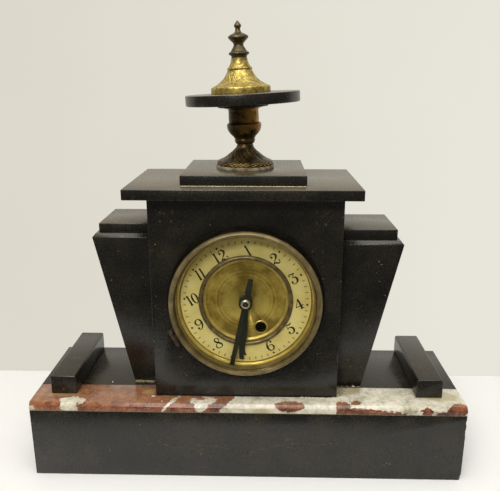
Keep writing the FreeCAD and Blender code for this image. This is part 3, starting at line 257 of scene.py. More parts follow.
def groove(points, wide, face_y, finish, deep=0.35):
    """A V-shaped cutter along points (x, z) of a front face, all in mm."""
    line = curved(points, 4)
    work = bmesh.new()
    rows = []
    for i, (x, z) in enumerate(line):
        ahead, behind = line[min(i + 1, len(line) - 1)], line[max(i - 1, 0)]
        run = Vector((ahead[0] - behind[0], ahead[1] - behind[1])).normalized()
        half = wide / 2 * min(1.0, 0.4 + 0.6 * min(i, len(line) - 1 - i) / 3)
        across, up = -run.y * half, run.x * half
        rows.append([work.verts.new(Vector(p) * MM) for p in (
            (x + across * 2, face_y - deep, z + up * 2), (x - across * 2, face_y - deep, z - up * 2),
            (x, face_y + deep, z))])
    for a, b in zip(rows, rows[1:]):
        for i in range(3):
            j = (i + 1) % 3
            work.faces.new((a[i], a[j], b[j], b[i]))
    work.faces.new(rows[0])
    work.faces.new(rows[-1])
    return as_cutter(work, finish)


def drilled(x, z, radius, face_y, finish, deep=0.5):
    """A shallow drilled dot in a front face, in mm."""
    work = bmesh.new()
    bmesh.ops.create_cone(work, cap_ends=True, segments=20, radius1=radius * 0.7, radius2=radius * 1.3,
                          depth=2 * deep)
    bmesh.ops.rotate(work, verts=work.verts, matrix=Matrix.Rotation(math.radians(90), 3, "X"))
    for vert in work.verts:
        vert.co = (vert.co + Vector((x, face_y, z))) * MM
    return as_cutter(work, finish)


PLINTH_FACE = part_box("plinth_front")[0].y / MM
SPRAY = [
    (1.1, [(1.7, 45.4), (1.4, 34.9), (0.6, 23.4)]),
    (1.1, [(0.1, 22.8), (-6.8, 25.0), (-16.0, 28.4), (-25.2, 30.4), (-37.5, 31.4), (-49.8, 31.4),
           (-59.4, 30.9), (-68.3, 30.9), (-73.6, 32.9), (-77.0, 36.6), (-78.5, 38.8)]),
    (0.7, [(-44.2, 38.5), (-40.4, 36.0), (-34.3, 34.3), (-29.7, 33.8)]),
    (0.7, [(-47.2, 24.1), (-43.0, 26.7), (-37.6, 27.7), (-33.7, 27.4)]),
    (0.9, [(0.6, 23.4), (-3.7, 20.9), (-9.9, 17.8)]),
    (1.0, [(0.1, 23.7), (5.5, 21.5), (11.7, 18.2)]),
    (1.1, [(0.9, 23.4), (7.1, 25.3), (14.7, 28.9), (25.4, 32.0), (36.1, 33.7), (47.5, 34.3),
           (57.9, 33.9), (69.5, 34.5), (80.1, 35.9)]),
    (0.7, [(43.2, 41.4), (39.0, 38.5), (33.7, 36.9), (29.9, 35.4)]),
    (0.7, [(44.1, 27.2), (40.7, 29.9), (36.1, 30.9), (30.8, 30.8)]),
    (0.6, [(57.9, 33.9), (55.7, 38.5), (54.1, 42.0)]),
]
SPRAY_DOTS = [(1.7, 45.4, 1.6), (-59.4, 30.9, 1.6), (-44.2, 38.5, 1.4), (-47.2, 24.1, 1.3),
              (43.2, 41.4, 1.4), (44.1, 27.2, 1.4), (57.9, 33.9, 1.6), (1.4, 41.1, 0.9),
              (-77.2, 40.1, 0.8), (-67.6, 15.8, 1.0), (54.6, 37.4, 0.9), (-63.2, 44.7, 0.6)]
cut_into(slab("plinth_front", "slate_front_slab"), [
    flake(185.6, -54, 56, (1.6, 2.2, 3.6), 1),
    flake(185.8, -54, 47, (1.9, 2.4, 5.0), 2),
    flake(186.4, -54.5, 1.5, (4.2, 3.2, 6.5), 3),
    flake(-185.8, -54.2, 24, (1.2, 1.4, 3.0), 4),
    flake(96, -54.2, 0, (4.5, 1.2, 1.0), 5),
    *(groove(points, wide, PLINTH_FACE, worn_gilding) for wide, points in SPRAY),
    *(drilled(x, z, radius, PLINTH_FACE, worn_gilding) for x, z, radius in SPRAY_DOTS),
])
slab("plinth_back", "slate_back_slab")
slab("plinth_left_end", "slate_left_end")
slab("plinth_right_end", "slate_right_end")
slab("plinth_bottom", "slate_bottom")
slab("plinth_top", "slate_top_slab", 0.6)


# The marble strip: griotte rouge, a red-brown limestone with white calcite patches and veins,
# sawn, bevelled along its top front edge, polished and cemented to the front slab. Its patches
# are leaning ellipses: x, height up the front and on over the top, half sizes, lean, all in mm.
RED_PATCHES = [(-39.5, 17.4, 4.8, 2.2, 0.2), (36.5, 8, 13.4, 6.6, 0), (151.3, 3.4, 4.4, 4.4, 0),
               (177.5, 6, 9, 8.4, 0.3), (167, 0.8, 9, 2.4, 0)]
RED_EDGE_PATCHES = [(92, 1, 32, 5, 0), (80, 9, 7.5, 6, 0), (92.5, 13.4, 4.6, 3.6, 0.4),
                    (112, 0, 26, 2.6, 0)]
WHITE_PATCHES = [(-186, 2, 5.5, 3.6, 0), (-151, 4, 7.4, 8, -0.2), (-149.6, 12.5, 10.5, 5.6, -0.3),
                 (-65.2, 9.5, 2.1, 11.5, 0.62), (-37.5, 14, 11, 6.2, 0.2), (-39, 6.5, 5.8, 6.5, 0.3)]
STAINS = [(-86, 28, 5, 5, 0), (89, 34, 12, 9, 0.6), (12, 1.5, 12, 4, 0),
          (-160, 21, 17, 2.2, 0), (166, 26, 16, 9, 0), (-183, 1, 4, 3, 0)]
RED_END, BREAK_AT = -22.4, 75.6


def outside(tree, x, up, spots):
    """How far, in mm, a place lies outside the nearest of the leaning ellipses."""
    nearest = None
    for middle, height, wide, high, lean in spots:
        less = min(wide, high)
        side = add(tree, "Math", {0: up, 1: -lean, 2: x}, operation="MULTIPLY_ADD")
        right = add(tree, "Math", {0: side, 1: 1 / wide, 2: -(middle - lean * height) / wide},
                    operation="MULTIPLY_ADD")
        above = add(tree, "Math", {0: up, 1: 1 / high, 2: -height / high}, operation="MULTIPLY_ADD")
        square = add(tree, "Math", {0: right, 1: right}, operation="MULTIPLY")
        both = add(tree, "Math", {0: above, 1: above, 2: square}, operation="MULTIPLY_ADD")
        reach = add(tree, "Math", {0: both}, operation="SQRT")
        here = add(tree, "Math", {0: reach, 1: less, 2: -less}, operation="MULTIPLY_ADD")
        nearest = here if nearest is None else add(
            tree, "Math", {0: nearest, 1: here}, operation="MINIMUM")
    return nearest


# Polished limestone: soft red clots with brown rims and pale threads in a warm white ground, an
# olive stain here and there, a clear gloss, and red that is made paler on its level tops.
marble, tree, shader, at = finish_called("marble_red_and_white_polished")
where = add(tree, "SeparateXYZ", {"Vector": at})
drift = add(tree, "SeparateColor", {"Color": add(tree, "TexNoise", {
    "Vector": at, "Scale": every(10.53), "Detail": 6, "Roughness": 0.66}).outputs["Color"]})
plain_x = add(tree, "Math", {0: where.outputs["X"], 1: MM}, operation="DIVIDE")
back_and_up = add(tree, "Math", {0: where.outputs["Y"], 1: where.outputs["Z"]}, operation="ADD")
foot_of_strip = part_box("marble_strip")[0]
plain_up = add(tree, "Math", {
    0: back_and_up, 1: 1 / MM, 2: -(foot_of_strip.y + foot_of_strip.z) / MM},
    operation="MULTIPLY_ADD")
x = add(tree, "Math", {0: drift.outputs["Red"], 1: 9, 2: plain_x}, operation="MULTIPLY_ADD")
x = add(tree, "Math", {0: x, 1: 4.5}, operation="SUBTRACT")
up = add(tree, "Math", {0: drift.outputs["Green"], 1: 6, 2: plain_up}, operation="MULTIPLY_ADD")
up = add(tree, "Math", {0: up, 1: 3}, operation="SUBTRACT")
past_end = add(tree, "Math", {0: up, 1: -0.6, 2: x}, operation="MULTIPLY_ADD")
past_end = add(tree, "Math", {0: past_end, 1: RED_END}, operation="SUBTRACT")
in_white = add(tree, "Math", {0: outside(tree, x, up, WHITE_PATCHES), 1: -1}, operation="MULTIPLY")
left_red = add(tree, "Math", {0: past_end, 1: in_white}, operation="MAXIMUM")
past_break = add(tree, "Math", {0: BREAK_AT, 1: plain_x}, operation="SUBTRACT")
edge_red = add(tree, "Math", {0: outside(tree, x, up, RED_EDGE_PATCHES), 1: past_break},
               operation="MAXIMUM")
all_red = add(tree, "Math", {0: left_red, 1: edge_red}, operation="MINIMUM")
all_red = add(tree, "Math", {0: all_red, 1: outside(tree, x, up, RED_PATCHES)}, operation="MINIMUM")
mottle = add(tree, "TexNoise", {"Vector": at, "Scale": every(2.381), "Detail": 6, "Roughness": 0.7})
ragged = add(tree, "Math", {0: mottle, 1: 6, 2: all_red}, operation="MULTIPLY_ADD")
red_share = add(tree, "MapRange", {"Value": ragged, "From Min": 3.4, "From Max": 2.6},
                interpolation_type="SMOOTHSTEP")
clots = add(tree, "TexNoise", {"Vector": at, "Scale": every(11.765), "Detail": 9, "Roughness": 0.72})
bed = add(tree, "Math", {0: plain_x, 1: -0.0002, 2: clots}, operation="MULTIPLY_ADD")
red = add(tree, "ValToRGB", {"Fac": bed}, [
    (0.34, "2f1207"), (0.44, "57260f"), (0.52, "753a1b"), (0.60, "8a5230"), (0.74, "a67d58")])
white = add(tree, "ValToRGB", {"Fac": clots}, [
    (0.30, "847c5e"), (0.40, "b4ac93"), (0.52, "d5cdb7"), (0.68, "e8e0cf")])
colour = add(tree, "Mix", {0: red_share, 6: white, 7: red}, data_type="RGBA")
rim = add(tree, "ValToRGB", {"Fac": red_share}, [(0, "000000"), (0.5, "707070"), (1, "000000")])
colour = add(tree, "Mix", {0: rim, 6: colour, 7: "5a3a22"}, data_type="RGBA")
threads = add(tree, "TexNoise", {
    "Vector": at, "Scale": every(18.18), "Detail": 7, "Distortion": 1.6})
hair = add(tree, "ValToRGB", {"Fac": threads},
           [(0.475, "000000"), (0.5, "a0a0a0"), (0.525, "000000")])
thread_tone = add(tree, "Mix", {0: red_share, 6: "86795f", 7: "b48f70"}, data_type="RGBA")
colour = add(tree, "Mix", {0: hair, 6: colour, 7: thread_tone}, data_type="RGBA")
stained = add(tree, "MapRange", {
    "Value": outside(tree, x, up, STAINS), "From Min": 1.5, "From Max": -3, "To Max": 0.6},
    interpolation_type="SMOOTHSTEP")
colour = add(tree, "Mix", {0: stained, 6: colour, 7: "9c8c57"}, data_type="RGBA")
facing = add(tree, "SeparateXYZ", {"Vector": add(tree, "NewGeometry").outputs["Normal"]})
lying = add(tree, "MapRange", {"Value": facing.outputs["Z"], "From Min": 0.6, "To Max": 0.2})
# The red is mixed paler where the faces lie level.
paler_red_tops = add(tree, "Math", {0: lying, 1: red_share}, operation="MULTIPLY")
plug(shader, {
    "Base Color": add(tree, "Mix", {0: paler_red_tops, 6: colour, 7: "c4a27c"}, data_type="RGBA"),
    "Roughness": 0.22, "IOR": 1.5, "Subsurface Weight": 0.05,
    "Subsurface Radius": (4 * MM, 3 * MM, 2 * MM), "Subsurface Scale": 1,
    "Normal": add(tree, "Bump", {"Height": mottle, "Strength": 0.06, "Distance": 0.3 * MM})})
eased_copy("marble_strip", "marble_strip_polished", 0.35, marble, "marble")


# Old cement: a yellowed line in the joint under the marble, a smear under the left wing, and
# hard crumbs of glue where the case and the right wing were stuck down again. The cement is matt
# and sandy, and the glue pale and a little glassy.
old_cement = mottled(
    "cement_old_yellowed", 1.923, 6, 0.7, [(0.32, "4a432e"), (0.5, "766b4a"), (0.7, "988d6c")],
    (0.5, 0.4), Roughness=0.8, IOR=1.5)
pale_glue = mottled(
    "glue_dried_pale", 1.429, 5, 0.5, [(0.35, "a79c7c"), (0.65, "e2dac4")], Roughness=0.55, IOR=1.48)


def lumps(name, finish, spots, seed):
    """Hard crumbs as one piece: each spot is x, y, z of its foot and its radius, in mm."""
    chance = random.Random(seed)
    work = bmesh.new()
    for x, y, z, radius in spots:
        made = bmesh.ops.create_icosphere(work, subdivisions=2, radius=radius * MM)["verts"]
        stretch = [chance.uniform(0.7, 1.5), chance.uniform(0.7, 1.3), chance.uniform(0.5, 0.9)]
        for vert in made:
            swell = 1 + 0.35 * noise.noise(vert.co / MM * 1.3 + Vector((x, y, z)))
            vert.co = Vector([c * s * swell for c, s in zip(vert.co, stretch)])
            vert.co += Vector((x, y, z)) * MM
    mesh = mesh_of(work, name, finish)
    mesh.shade_smooth()
    placed(mesh, "marble")


def scattered(count, seed, corners, radii, level):
    """Chance spots on a level in a four-sided field, thicker towards its first side."""
    chance = random.Random(seed)
    spots = []
    for i in range(count):
        u, v = chance.random(), chance.random() ** 1.6
        (ax, ay), (bx, by), (cx, cy), (dx, dy) = corners
        near = (ax + (bx - ax) * u, ay + (by - ay) * u)
        far = (dx + (cx - dx) * u, dy + (cy - dy) * u)
        spots.append((near[0] + (far[0] - near[0]) * v, near[1] + (far[1] - near[1]) * v, level,
                      chance.uniform(*radii)))
    return spots


def block_mesh(name, low, high, ease, finish, place=Matrix()):
    """A small bar between two corners in mm, with eased edges, set at place."""
    work = bmesh.new()
    bmesh.ops.create_cube(work, size=1)
    for vert in work.verts:
        vert.co = Vector([(l + h) / 2 + c * (h - l) for c, l, h in zip(vert.co, low, high)]) * MM
    bmesh.ops.bevel(work, geom=list(work.edges), offset=ease * MM, segments=2, profile=0.5,
                    affect="EDGES", clamp_overlap=True)
    bmesh.ops.transform(work, matrix=place, verts=work.verts)
    return mesh_of(work, name, finish)


STRIP_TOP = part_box("marble_strip")[1].z / MM
smear = [(-102, -13.4), (-84.5, -13.4), (-84.5, -16.4), (-100.5, -16.4)]
lumps("cement_under_left_wing", old_cement, scattered(110, 3, smear, (0.4, 0.9), STRIP_TOP), 4)
beside_case = [(77.6, -37.6), (77.6, -14.5), (90, -18.5), (82, -36)]
before_wing = [(78, -14.8), (104, -14.8), (100, -21), (80, -26)]
lumps("glue_grains_right", old_cement,
      scattered(190, 5, beside_case, (0.18, 0.5), STRIP_TOP)
      + scattered(120, 6, before_wing, (0.18, 0.5), STRIP_TOP), 7)
before_case = [(44, -38.7), (76.6, -38.7), (76.6, -40.6), (44, -40)]
lumps("glue_fringe_front", pale_glue,
      scattered(75, 8, before_case, (0.2, 0.6), STRIP_TOP)
      + [(x, y, STRIP_TOP, radius) for x, y, radius in (
          (46.4, -40, 0.8), (61.1, -40.3, 1.1), (94.3, -19.4, 1.1), (73, -39.6, 0.7),
          (-80.8, -40.2, 1.2), (-72, -48.1, 0.7), (-122.2, -16.6, 0.6))], 9)
seam_z = foot_of_strip.z / MM
placed(block_mesh("cement_line_under_marble", (-184.6, PLINTH_FACE + 0.08, seam_z - 0.42),
                  (184.6, PLINTH_FACE + 0.9, seam_z + 0.3), 0.05, old_cement), "marble")


# The end bars: two solid slate blocks across the plinth's ends, cemented on, their long arrises
# worn pale by handling.
slab("left_end_bar", "slate_left_bar", 0.7)
slab("right_end_bar", "slate_right_bar", 0.7)


# The case: four slate slabs round the movement, the front one bored for the dial unit, under a
# cornice slab and a step slab that are laid on with pale cement. Dots are drilled in its top
# corners, with shoots cut between them, and a near-black strip at its foot is painted shadow in the
# joint.
CASE_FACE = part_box("case_front")[0].y / MM
CORNER_DOTS = [(-72.4, 239.2, 1.3), (-58.7, 233.4, 1.3), (-68.6, 225.6, 1.2), (-59.9, 225.3, 1.1),
               (69.4, 237.8, 1.3), (55.4, 233.6, 1.2), (55.4, 224.5, 1.1), (62.6, 223.6, 1.2)]
CORNER_SHOOTS = [
    [(-72.4, 238), (-71.6, 233), (-68.9, 227.0)], [(-71.2, 238.6), (-65, 236.6), (-60, 233.8)],
    [(-70.4, 236.4), (-65, 231.5), (-60.7, 226.4)], [(69.2, 236.4), (67.6, 230.5), (63.2, 224.8)],
    [(68, 237.4), (62, 236.4), (56.8, 234.2)], [(67.4, 235.8), (61.4, 231), (56.4, 225.6)]]
cut_into(slab("case_front", "slate_case_front"), [
    flake(77.0, -38.8, 108, (1.1, 1.4, 4.4), 6),
    *(groove(points, 0.5, CASE_FACE, worn_gilding, 0.2) for points in CORNER_SHOOTS),
    *(drilled(x, z, radius, CASE_FACE, worn_gilding, 0.4) for x, z, radius in CORNER_DOTS),
])
# Painted shadow: a thin near-black strip along the case's foot stands for the contact shadow in the
# joint.
painted_contact_shadow = mottled(
    "painted_shadow_black_in_the_joint", 3.333, 4, 0.5, [(0.35, "060504"), (0.7, "14110c")],
    Roughness=0.9, IOR=1.4)
case_low, case_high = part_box("case_front")
placed(block_mesh("painted_shadow_line_under_case", (case_low.x / MM + 0.5, CASE_FACE - 0.35, STRIP_TOP),
                  (case_high.x / MM - 4, CASE_FACE + 0.3, STRIP_TOP + 1.1), 0.1, painted_contact_shadow), "slate")
slab("case_left_side", "slate_case_left", 0.4)
slab("case_right_side", "slate_case_right", 0.4)
slab("case_back", "slate_case_back", 0.4)
slab("cornice_slab", "slate_cornice")
slab("top_step_slab", "slate_step")
step_low, step_high = (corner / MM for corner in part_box("top_step_slab"))
placed(block_mesh("cement_line_under_step", (step_low.x + 0.3, step_low.y - 0.8, step_low.z),
                  (step_high.x - 0.3, step_low.y + 0.4, step_low.z + 0.35), 0.1, pale_glue), "slate")


# The wings: two tapered slate blocks beside the case, each with a slab laid on its top.
slab("left_wing", "slate_left_wing")
slab("right_wing", "slate_right_wing")
slab("left_wing_cap", "slate_left_cap")
slab("right_wing_cap", "slate_right_cap")


# The urn's slate disc, on which the brass lid stands. From its foot up the urn leans to the left,
# because its tie rod is bent, and the lid has slipped a little to the same side.
urn_x, urn_y = [(low + high) / 2 for low, high in zip(*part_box("urn_disc"))][:2]
urn_foot_z, urn_cup_z, urn_disc_z, urn_lid_z, urn_knob_z = [
    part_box("urn_" + part)[0].z for part in ("foot", "cup", "disc", "lid", "knob")]
LEAN, SLIP = math.radians(-2.8), -1.2
bend = Vector((urn_x, urn_y, urn_cup_z))
leaning = Matrix.Translation(bend) @ Matrix.Rotation(LEAN, 4, "Y") @ Matrix.Translation(-bend)


def on_urn(height, slip=0.0):
    """A place on the leaning urn's axis."""
    return leaning @ Matrix.Translation((urn_x + slip * MM, urn_y, height))


def lathe(name, outline, sides, finish, place, relief=None, sharp=30):
    """A turned mesh: outline is (radius, height) from bottom to top in mm, set at place.
    relief(turn, height) gives how far the surface stands proud there, in mm."""
    work = bmesh.new()
    rings = []
    for radius, height in outline:
        rings.append([])
        for i in range(sides if radius else 1):
            turn = 2 * math.pi * i / sides
            out = radius + (relief(turn, height) if relief and radius else 0)
            spot_here = Vector((out * math.cos(turn), out * math.sin(turn), height))
            rings[-1].append(work.verts.new(place @ (spot_here * MM)))
    for low, high in zip(rings, rings[1:]):
        for i in range(sides):
            j = (i + 1) % sides
            face = [low[i % len(low)], low[j % len(low)], high[j % len(high)], high[i % len(high)]]
            face = list(dict.fromkeys(face))
            if len(face) > 2:
                work.faces.new(face)
    bmesh.ops.recalc_face_normals(work, faces=work.faces)
    return smoothed(mesh_of(work, name, finish), sharp)


disc_line = [(0, 0), (46.3, 0), (46.9, 0.25), (47.1, 0.9), (47.1, 7.6), (46.9, 8.25), (46.3, 8.5),
             (0, 8.5)]
placed(lathe("slate_urn_disc", disc_line, 128, slate, on_urn(urn_disc_z)), "slate", "urn_disc")


# The urn's foot and cup: stamped and spun sheet brass, drawn thin over the tie rod, with leaves
# and a pitted band pressed into the foot. Their lacquer has gone a greenish dark brown, and a
# painted gold reflection lies on the upper right side of the cup. Dust sticks to the foot's plain rim.
dark_brass, tree, shader, at = finish_called("brass_sheet_browned")
stain = add(tree, "TexNoise", {"Vector": at, "Scale": every(5.263), "Detail": 7, "Roughness": 0.7})
rub = add(tree, "TexNoise", {"Vector": at, "Scale": every(16.67), "Detail": 4})
hollow = add(tree, "NewGeometry").outputs["Pointiness"]
colour = add(tree, "ValToRGB", {"Fac": stain},
             [(0.34, "16120a"), (0.5, "3b2f18"), (0.62, "6a5328"), (0.74, "a88a44")])
worn = add(tree, "MapRange", {"Value": hollow, "From Min": 0.5, "From Max": 0.56, "To Max": 0.8})
patchy = add(tree, "Math", {
    0: worn, 1: add(tree, "MapRange", {"Value": rub, "From Min": 0.42, "From Max": 0.6})},
    operation="MULTIPLY")
colour = add(tree, "Mix", {0: patchy, 6: colour, 7: "b08c44"}, data_type="RGBA")
# Painted reflection: gold mixed into the cup's upper right side.
spot_at = add(tree, "SeparateXYZ", {"Vector": at})
to_right = add(tree, "MapRange", {"Value": spot_at.outputs["X"], "From Min": urn_x - 5 * MM,
                                  "From Max": urn_x + 8 * MM, "To Max": 0.85})
to_top = add(tree, "MapRange", {"Value": spot_at.outputs["Z"], "From Min": urn_cup_z + 6 * MM,
                                "From Max": urn_cup_z + 18 * MM})
painted_gold_reflection = add(tree, "Math", {0: to_right, 1: to_top}, operation="MULTIPLY")
painted_gold_reflection = add(tree, "Math", {
    0: painted_gold_reflection, 1: add(tree, "MapRange", {"Value": stain, "From Min": 0.36, "From Max": 0.46})},
    operation="MULTIPLY")
plug(shader, {
    "Base Color": add(tree, "Mix", {0: painted_gold_reflection, 6: colour, 7: "b88838"}, data_type="RGBA"),
    "Metallic": 0.65,
    "Roughness": add(tree, "MapRange", {
        "Value": rub, "From Min": 0.3, "From Max": 0.7, "To Min": 0.22, "To Max": 0.5}),
    "Normal": add(tree, "Bump", {"Height": stain, "Strength": 0.2, "Distance": 0.4 * MM})})
LEAF_COUNT = 9


def leaves(low, high, depth):
    """Pressed leaves: rounded ribs that swell and taper between two heights, with side veins."""
    def relief(turn, height):
        if not low < height < high:
            return 0
        along = (height - low) / (high - low)
        swell = math.sin(math.pi * along) ** 0.6
        rib = abs(math.sin(turn * LEAF_COUNT / 2)) ** 0.7
        vein = math.sin(turn * LEAF_COUNT * 4 + along * 26) * math.sin(turn * LEAF_COUNT + along * 5)
        return depth * swell * (rib - 0.5 + 0.4 * vein)
    return relief


def foot_relief(turn, height):
    """The foot's pitted band, and its leaves above."""
    knurl = math.sin(turn * 31 + math.sin(turn * 7)) * math.sin(height * 2.6 + turn * 3)
    return (0.35 * knurl if 2.6 < height < 6.4 else 0) + leaves(6.6, 16.5, 0.9)(turn, height)


foot_line = curved([(23.8, 0), (23.8, 2.2), (23.4, 2.6), (23.6, 3.8), (22.9, 5.4), (21.8, 6.4)], 4)
foot_line += curved([(21.2, 6.6), (16.8, 8.6), (12.3, 11.8), (9.0, 14.8), (7.2, 17.7), (6.6, 19.7)], 6)
on_cornice = Matrix.Translation((urn_x, urn_y, urn_foot_z))
placed(lathe("brass_urn_foot", [(0, 0)] + foot_line + [(0, 19.7)], 288, dark_brass, on_cornice,
             foot_relief), "gilt", "urn_foot")
dusty_brass = mottled(
    "brass_under_dust", 4.545, 5, 0.5, [(0.36, "5a4f38"), (0.52, "8a7e66"), (0.7, "a1967e")],
    Roughness=0.8, IOR=1.5)
rim_line = [(23.7, 0), (24.2, 0.2), (24.35, 0.9), (24.2, 2.0), (23.6, 2.5), (23.2, 2.6)]
placed(lathe("dusty_foot_rim", rim_line, 144, dusty_brass, on_cornice), "gilt")
cup_line = curved([(6.1, 0), (7.4, 0.5), (8.3, 2.0), (8.6, 3.6), (8.1, 4.6)], 3)
cup_line += curved([(8.8, 5.0), (9.4, 6.2), (12.2, 9.2), (13.9, 12.4), (14.4, 15.6), (13.7, 17.2)], 5)
cup_line += curved([(12.9, 17.6), (12.5, 18.4), (12.6, 21.0), (12.5, 27.6), (13.6, 28.9), (16.4, 29.7),
                    (17.3, 30.3)], 4)
placed(lathe("brass_urn_cup", [(0, 0)] + cup_line + [(0, 30.3)], 144, dark_brass, on_urn(urn_cup_z)),
       "gilt", "urn_cup")
# Black lacquer still covers the cup's lip: a plain dark band, half matt.
black_lacquer = mottled(
    "lacquer_black_on_brass", 3.333, 5, 0.5, [(0.35, "0c0b0a"), (0.6, "191714"), (0.75, "33291a")],
    Roughness=0.5, IOR=1.5)
lip_line = [(0, 30.1), (20.6, 30.3), (21.0, 30.7), (21.0, 32.6), (20.8, 32.8), (0, 32.8)]
placed(lathe("brass_urn_cup_lip", lip_line, 144, black_lacquer, on_urn(urn_cup_z)), "gilt")


# The urn's lid: the same sheet brass, still bright where it was lacquered, with pressed leaves
# above a plain turned-down band, and brown dirt in its hollows.
gilt_brass, tree, shader, at = finish_called("brass_sheet_lacquered")
stain = add(tree, "TexNoise", {"Vector": at, "Scale": every(3.846), "Detail": 8, "Roughness": 0.75})
hollow = add(tree, "NewGeometry").outputs["Pointiness"]
colour = add(tree, "ValToRGB", {"Fac": stain},
             [(0.36, "57471f"), (0.45, "9a8441"), (0.55, "c0aa5a"), (0.72, "d8c67e")])
dirt = add(tree, "MapRange", {
    "Value": hollow, "From Min": 0.45, "From Max": 0.5, "To Min": 0.85, "To Max": 0})
plug(shader, {
    "Base Color": add(tree, "Mix", {0: dirt, 6: colour, 7: "33240e"}, data_type="RGBA"),
    "Metallic": 0.8,
    "Roughness": add(tree, "MapRange", {
        "Value": stain, "From Min": 0.3, "From Max": 0.7, "To Min": 0.5, "To Max": 0.34}),
    "Normal": add(tree, "Bump", {"Height": stain, "Strength": 0.25, "Distance": 0.3 * MM})})
lid_line = curved([(24.0, 0), (24.4, 0.5), (24.4, 4.2), (23.9, 5.2)], 3)
lid_line += curved([(22.2, 5.8), (19.4, 7.2), (16.3, 9.2), (13.0, 12.3), (10.9, 15.6), (9.8, 18.2)], 8)
lid_line += curved([(10.1, 18.7), (10.2, 19.5), (9.6, 20.1)], 3)
lid_line += curved([(8.9, 20.6), (7.6, 23.0), (6.8, 25.2), (6.5, 27.5)], 4)
placed(lathe("brass_urn_lid", [(0, 0)] + lid_line + [(0, 27.5)], 288, gilt_brass,
             on_urn(urn_lid_z, SLIP), leaves(5.8, 18.4, 0.45)), "gilt", "urn_lid")


# The knob: a cast and turned brass finial, screwed down on the tie rod over the lid, its brass
# gone an even dull olive.
dull_brass = mottled(
    "brass_cast_dulled", 3.846, 6, 0.7, [(0.3, "463c27"), (0.5, "574d36"), (0.7, "6a6046")],
    (0.08, 0.3), Metallic=0.8, Roughness=0.42)
knob_line = curved([(6.2, 0), (6.4, 1.2), (7.2, 2.2), (8.2, 2.8), (8.2, 4.0), (6.7, 4.9)], 4)
knob_line += curved([(5.4, 7.0), (4.2, 9.0), (4.0, 10.2), (4.6, 11.6), (7.2, 14.2), (8.3, 15.6)], 4)
knob_line += curved([(8.0, 16.6), (5.6, 18.1), (3.3, 19.1), (2.2, 20.6), (2.0, 22.4)], 4)
knob_line += curved([(2.6, 23.4), (2.9, 24.7), (1.7, 26.6), (0.6, 28.0), (0, 28.4)], 4)
placed(lathe("brass_urn_knob", [(0, 0)] + knob_line, 96, dull_brass, on_urn(urn_knob_z, SLIP)),
       "gilt", "urn_knob")


# The urn's tie rod: a square iron rod with its nut under the cornice, bent just above the foot,
# with a thin brown rust.
rod_iron = mottled(
    "iron_rod_rusted", 2, 6, 0.7, [(0.35, "2f2a26"), (0.55, "4c3728"), (0.75, "7a4c2c")],
    Metallic=0.5, Roughness=0.7)
rod = bmesh.new()
rod.from_mesh(frame["nodes"]["urn_tie_rod"].data)
bmesh.ops.bisect_plane(rod, geom=rod.verts[:] + rod.edges[:] + rod.faces[:], plane_co=bend,
                       plane_no=(0, 0, 1))
for vert in rod.verts:
    if vert.co.z > bend.z + 0.1 * MM:
        vert.co = leaning @ vert.co
placed(mesh_of(rod, "iron_urn_tie_rod", rod_iron), "iron", "urn_tie_rod")


# The dial unit stands turned 27.6 degrees anticlockwise in the case, as the straps behind it have
# slackened. Its pieces are laid out in its own frame: x to 3 o'clock, y to 12, z to the front.
UNIT_TURN = math.radians(27.6)
unit = Matrix.Translation((-0.8 * MM, -38.5 * MM, 157.3 * MM)) @ Matrix((
    (math.cos(UNIT_TURN), -math.sin(UNIT_TURN), 0, 0),
    (0, 0, -1, 0),
    (math.sin(UNIT_TURN), math.cos(UNIT_TURN), 0, 0),
    (0, 0, 0, 1)))


# The seat: a spun brass flange screwed to the case front, tarnished nearly black, and the sloping
# reflector ring, kept bright behind the glass, that frames the dial. Two fine gold lines are
# turned at the reflector's foot. Spun brass that hands touch is an even yellow brown.
bezel_brass = mottled(
    "brass_spun_bezel_aged", 11.11, 6, 0.65, [(0.3, "5a4d31"), (0.5, "7b6a44"), (0.7, "97865b")],
    (0.1, 0.4), Metallic=0.45, Roughness=0.42)
flange_brass = mottled(
    "brass_flange_tarnished", 8.333, 6, 0.65, [(0.3, "100d08"), (0.5, "1d1810"), (0.7, "322a1c")],
    Metallic=0.8, Roughness=0.5)
reflector_brass = mottled(
    "brass_reflector_bright", 8.333, 5, 0.6, [(0.3, "b79d52"), (0.5, "d0b766"), (0.72, "e2cd84")],
    Metallic=0.6, Roughness=0.4)
ROUND = 192
seat_line = [(65, 0), (65, 1.3), (64.7, 1.7), (58.6, 1.7), (58.2, 2.1), (57.7, 7.2), (57.4, 7.5)]
placed(lathe("brass_bezel_seat", seat_line, ROUND, flange_brass, unit), "brass", "bezel_seat")
sight_rim_line = [(57.4, 7.5), (57.0, 6.8), (56.7, 5.2), (56.4, 3.6), (56.1, 2.6)]
placed(lathe("brass_sight_rim", sight_rim_line, ROUND, bezel_brass, unit), "brass")
sight_line = [(56.1, 2.6), (56.2, 2.2), (55.9, 1.8), (55.75, 1.0), (55.3, 0.7), (55.35, 0.2),
              (55.0, -0.2), (54.8, -2.2), (54.6, -3.5), (56, -3.3), (56, 0), (65, 0)]
placed(lathe("brass_sight_ring", sight_line, ROUND, reflector_brass, unit), "brass")


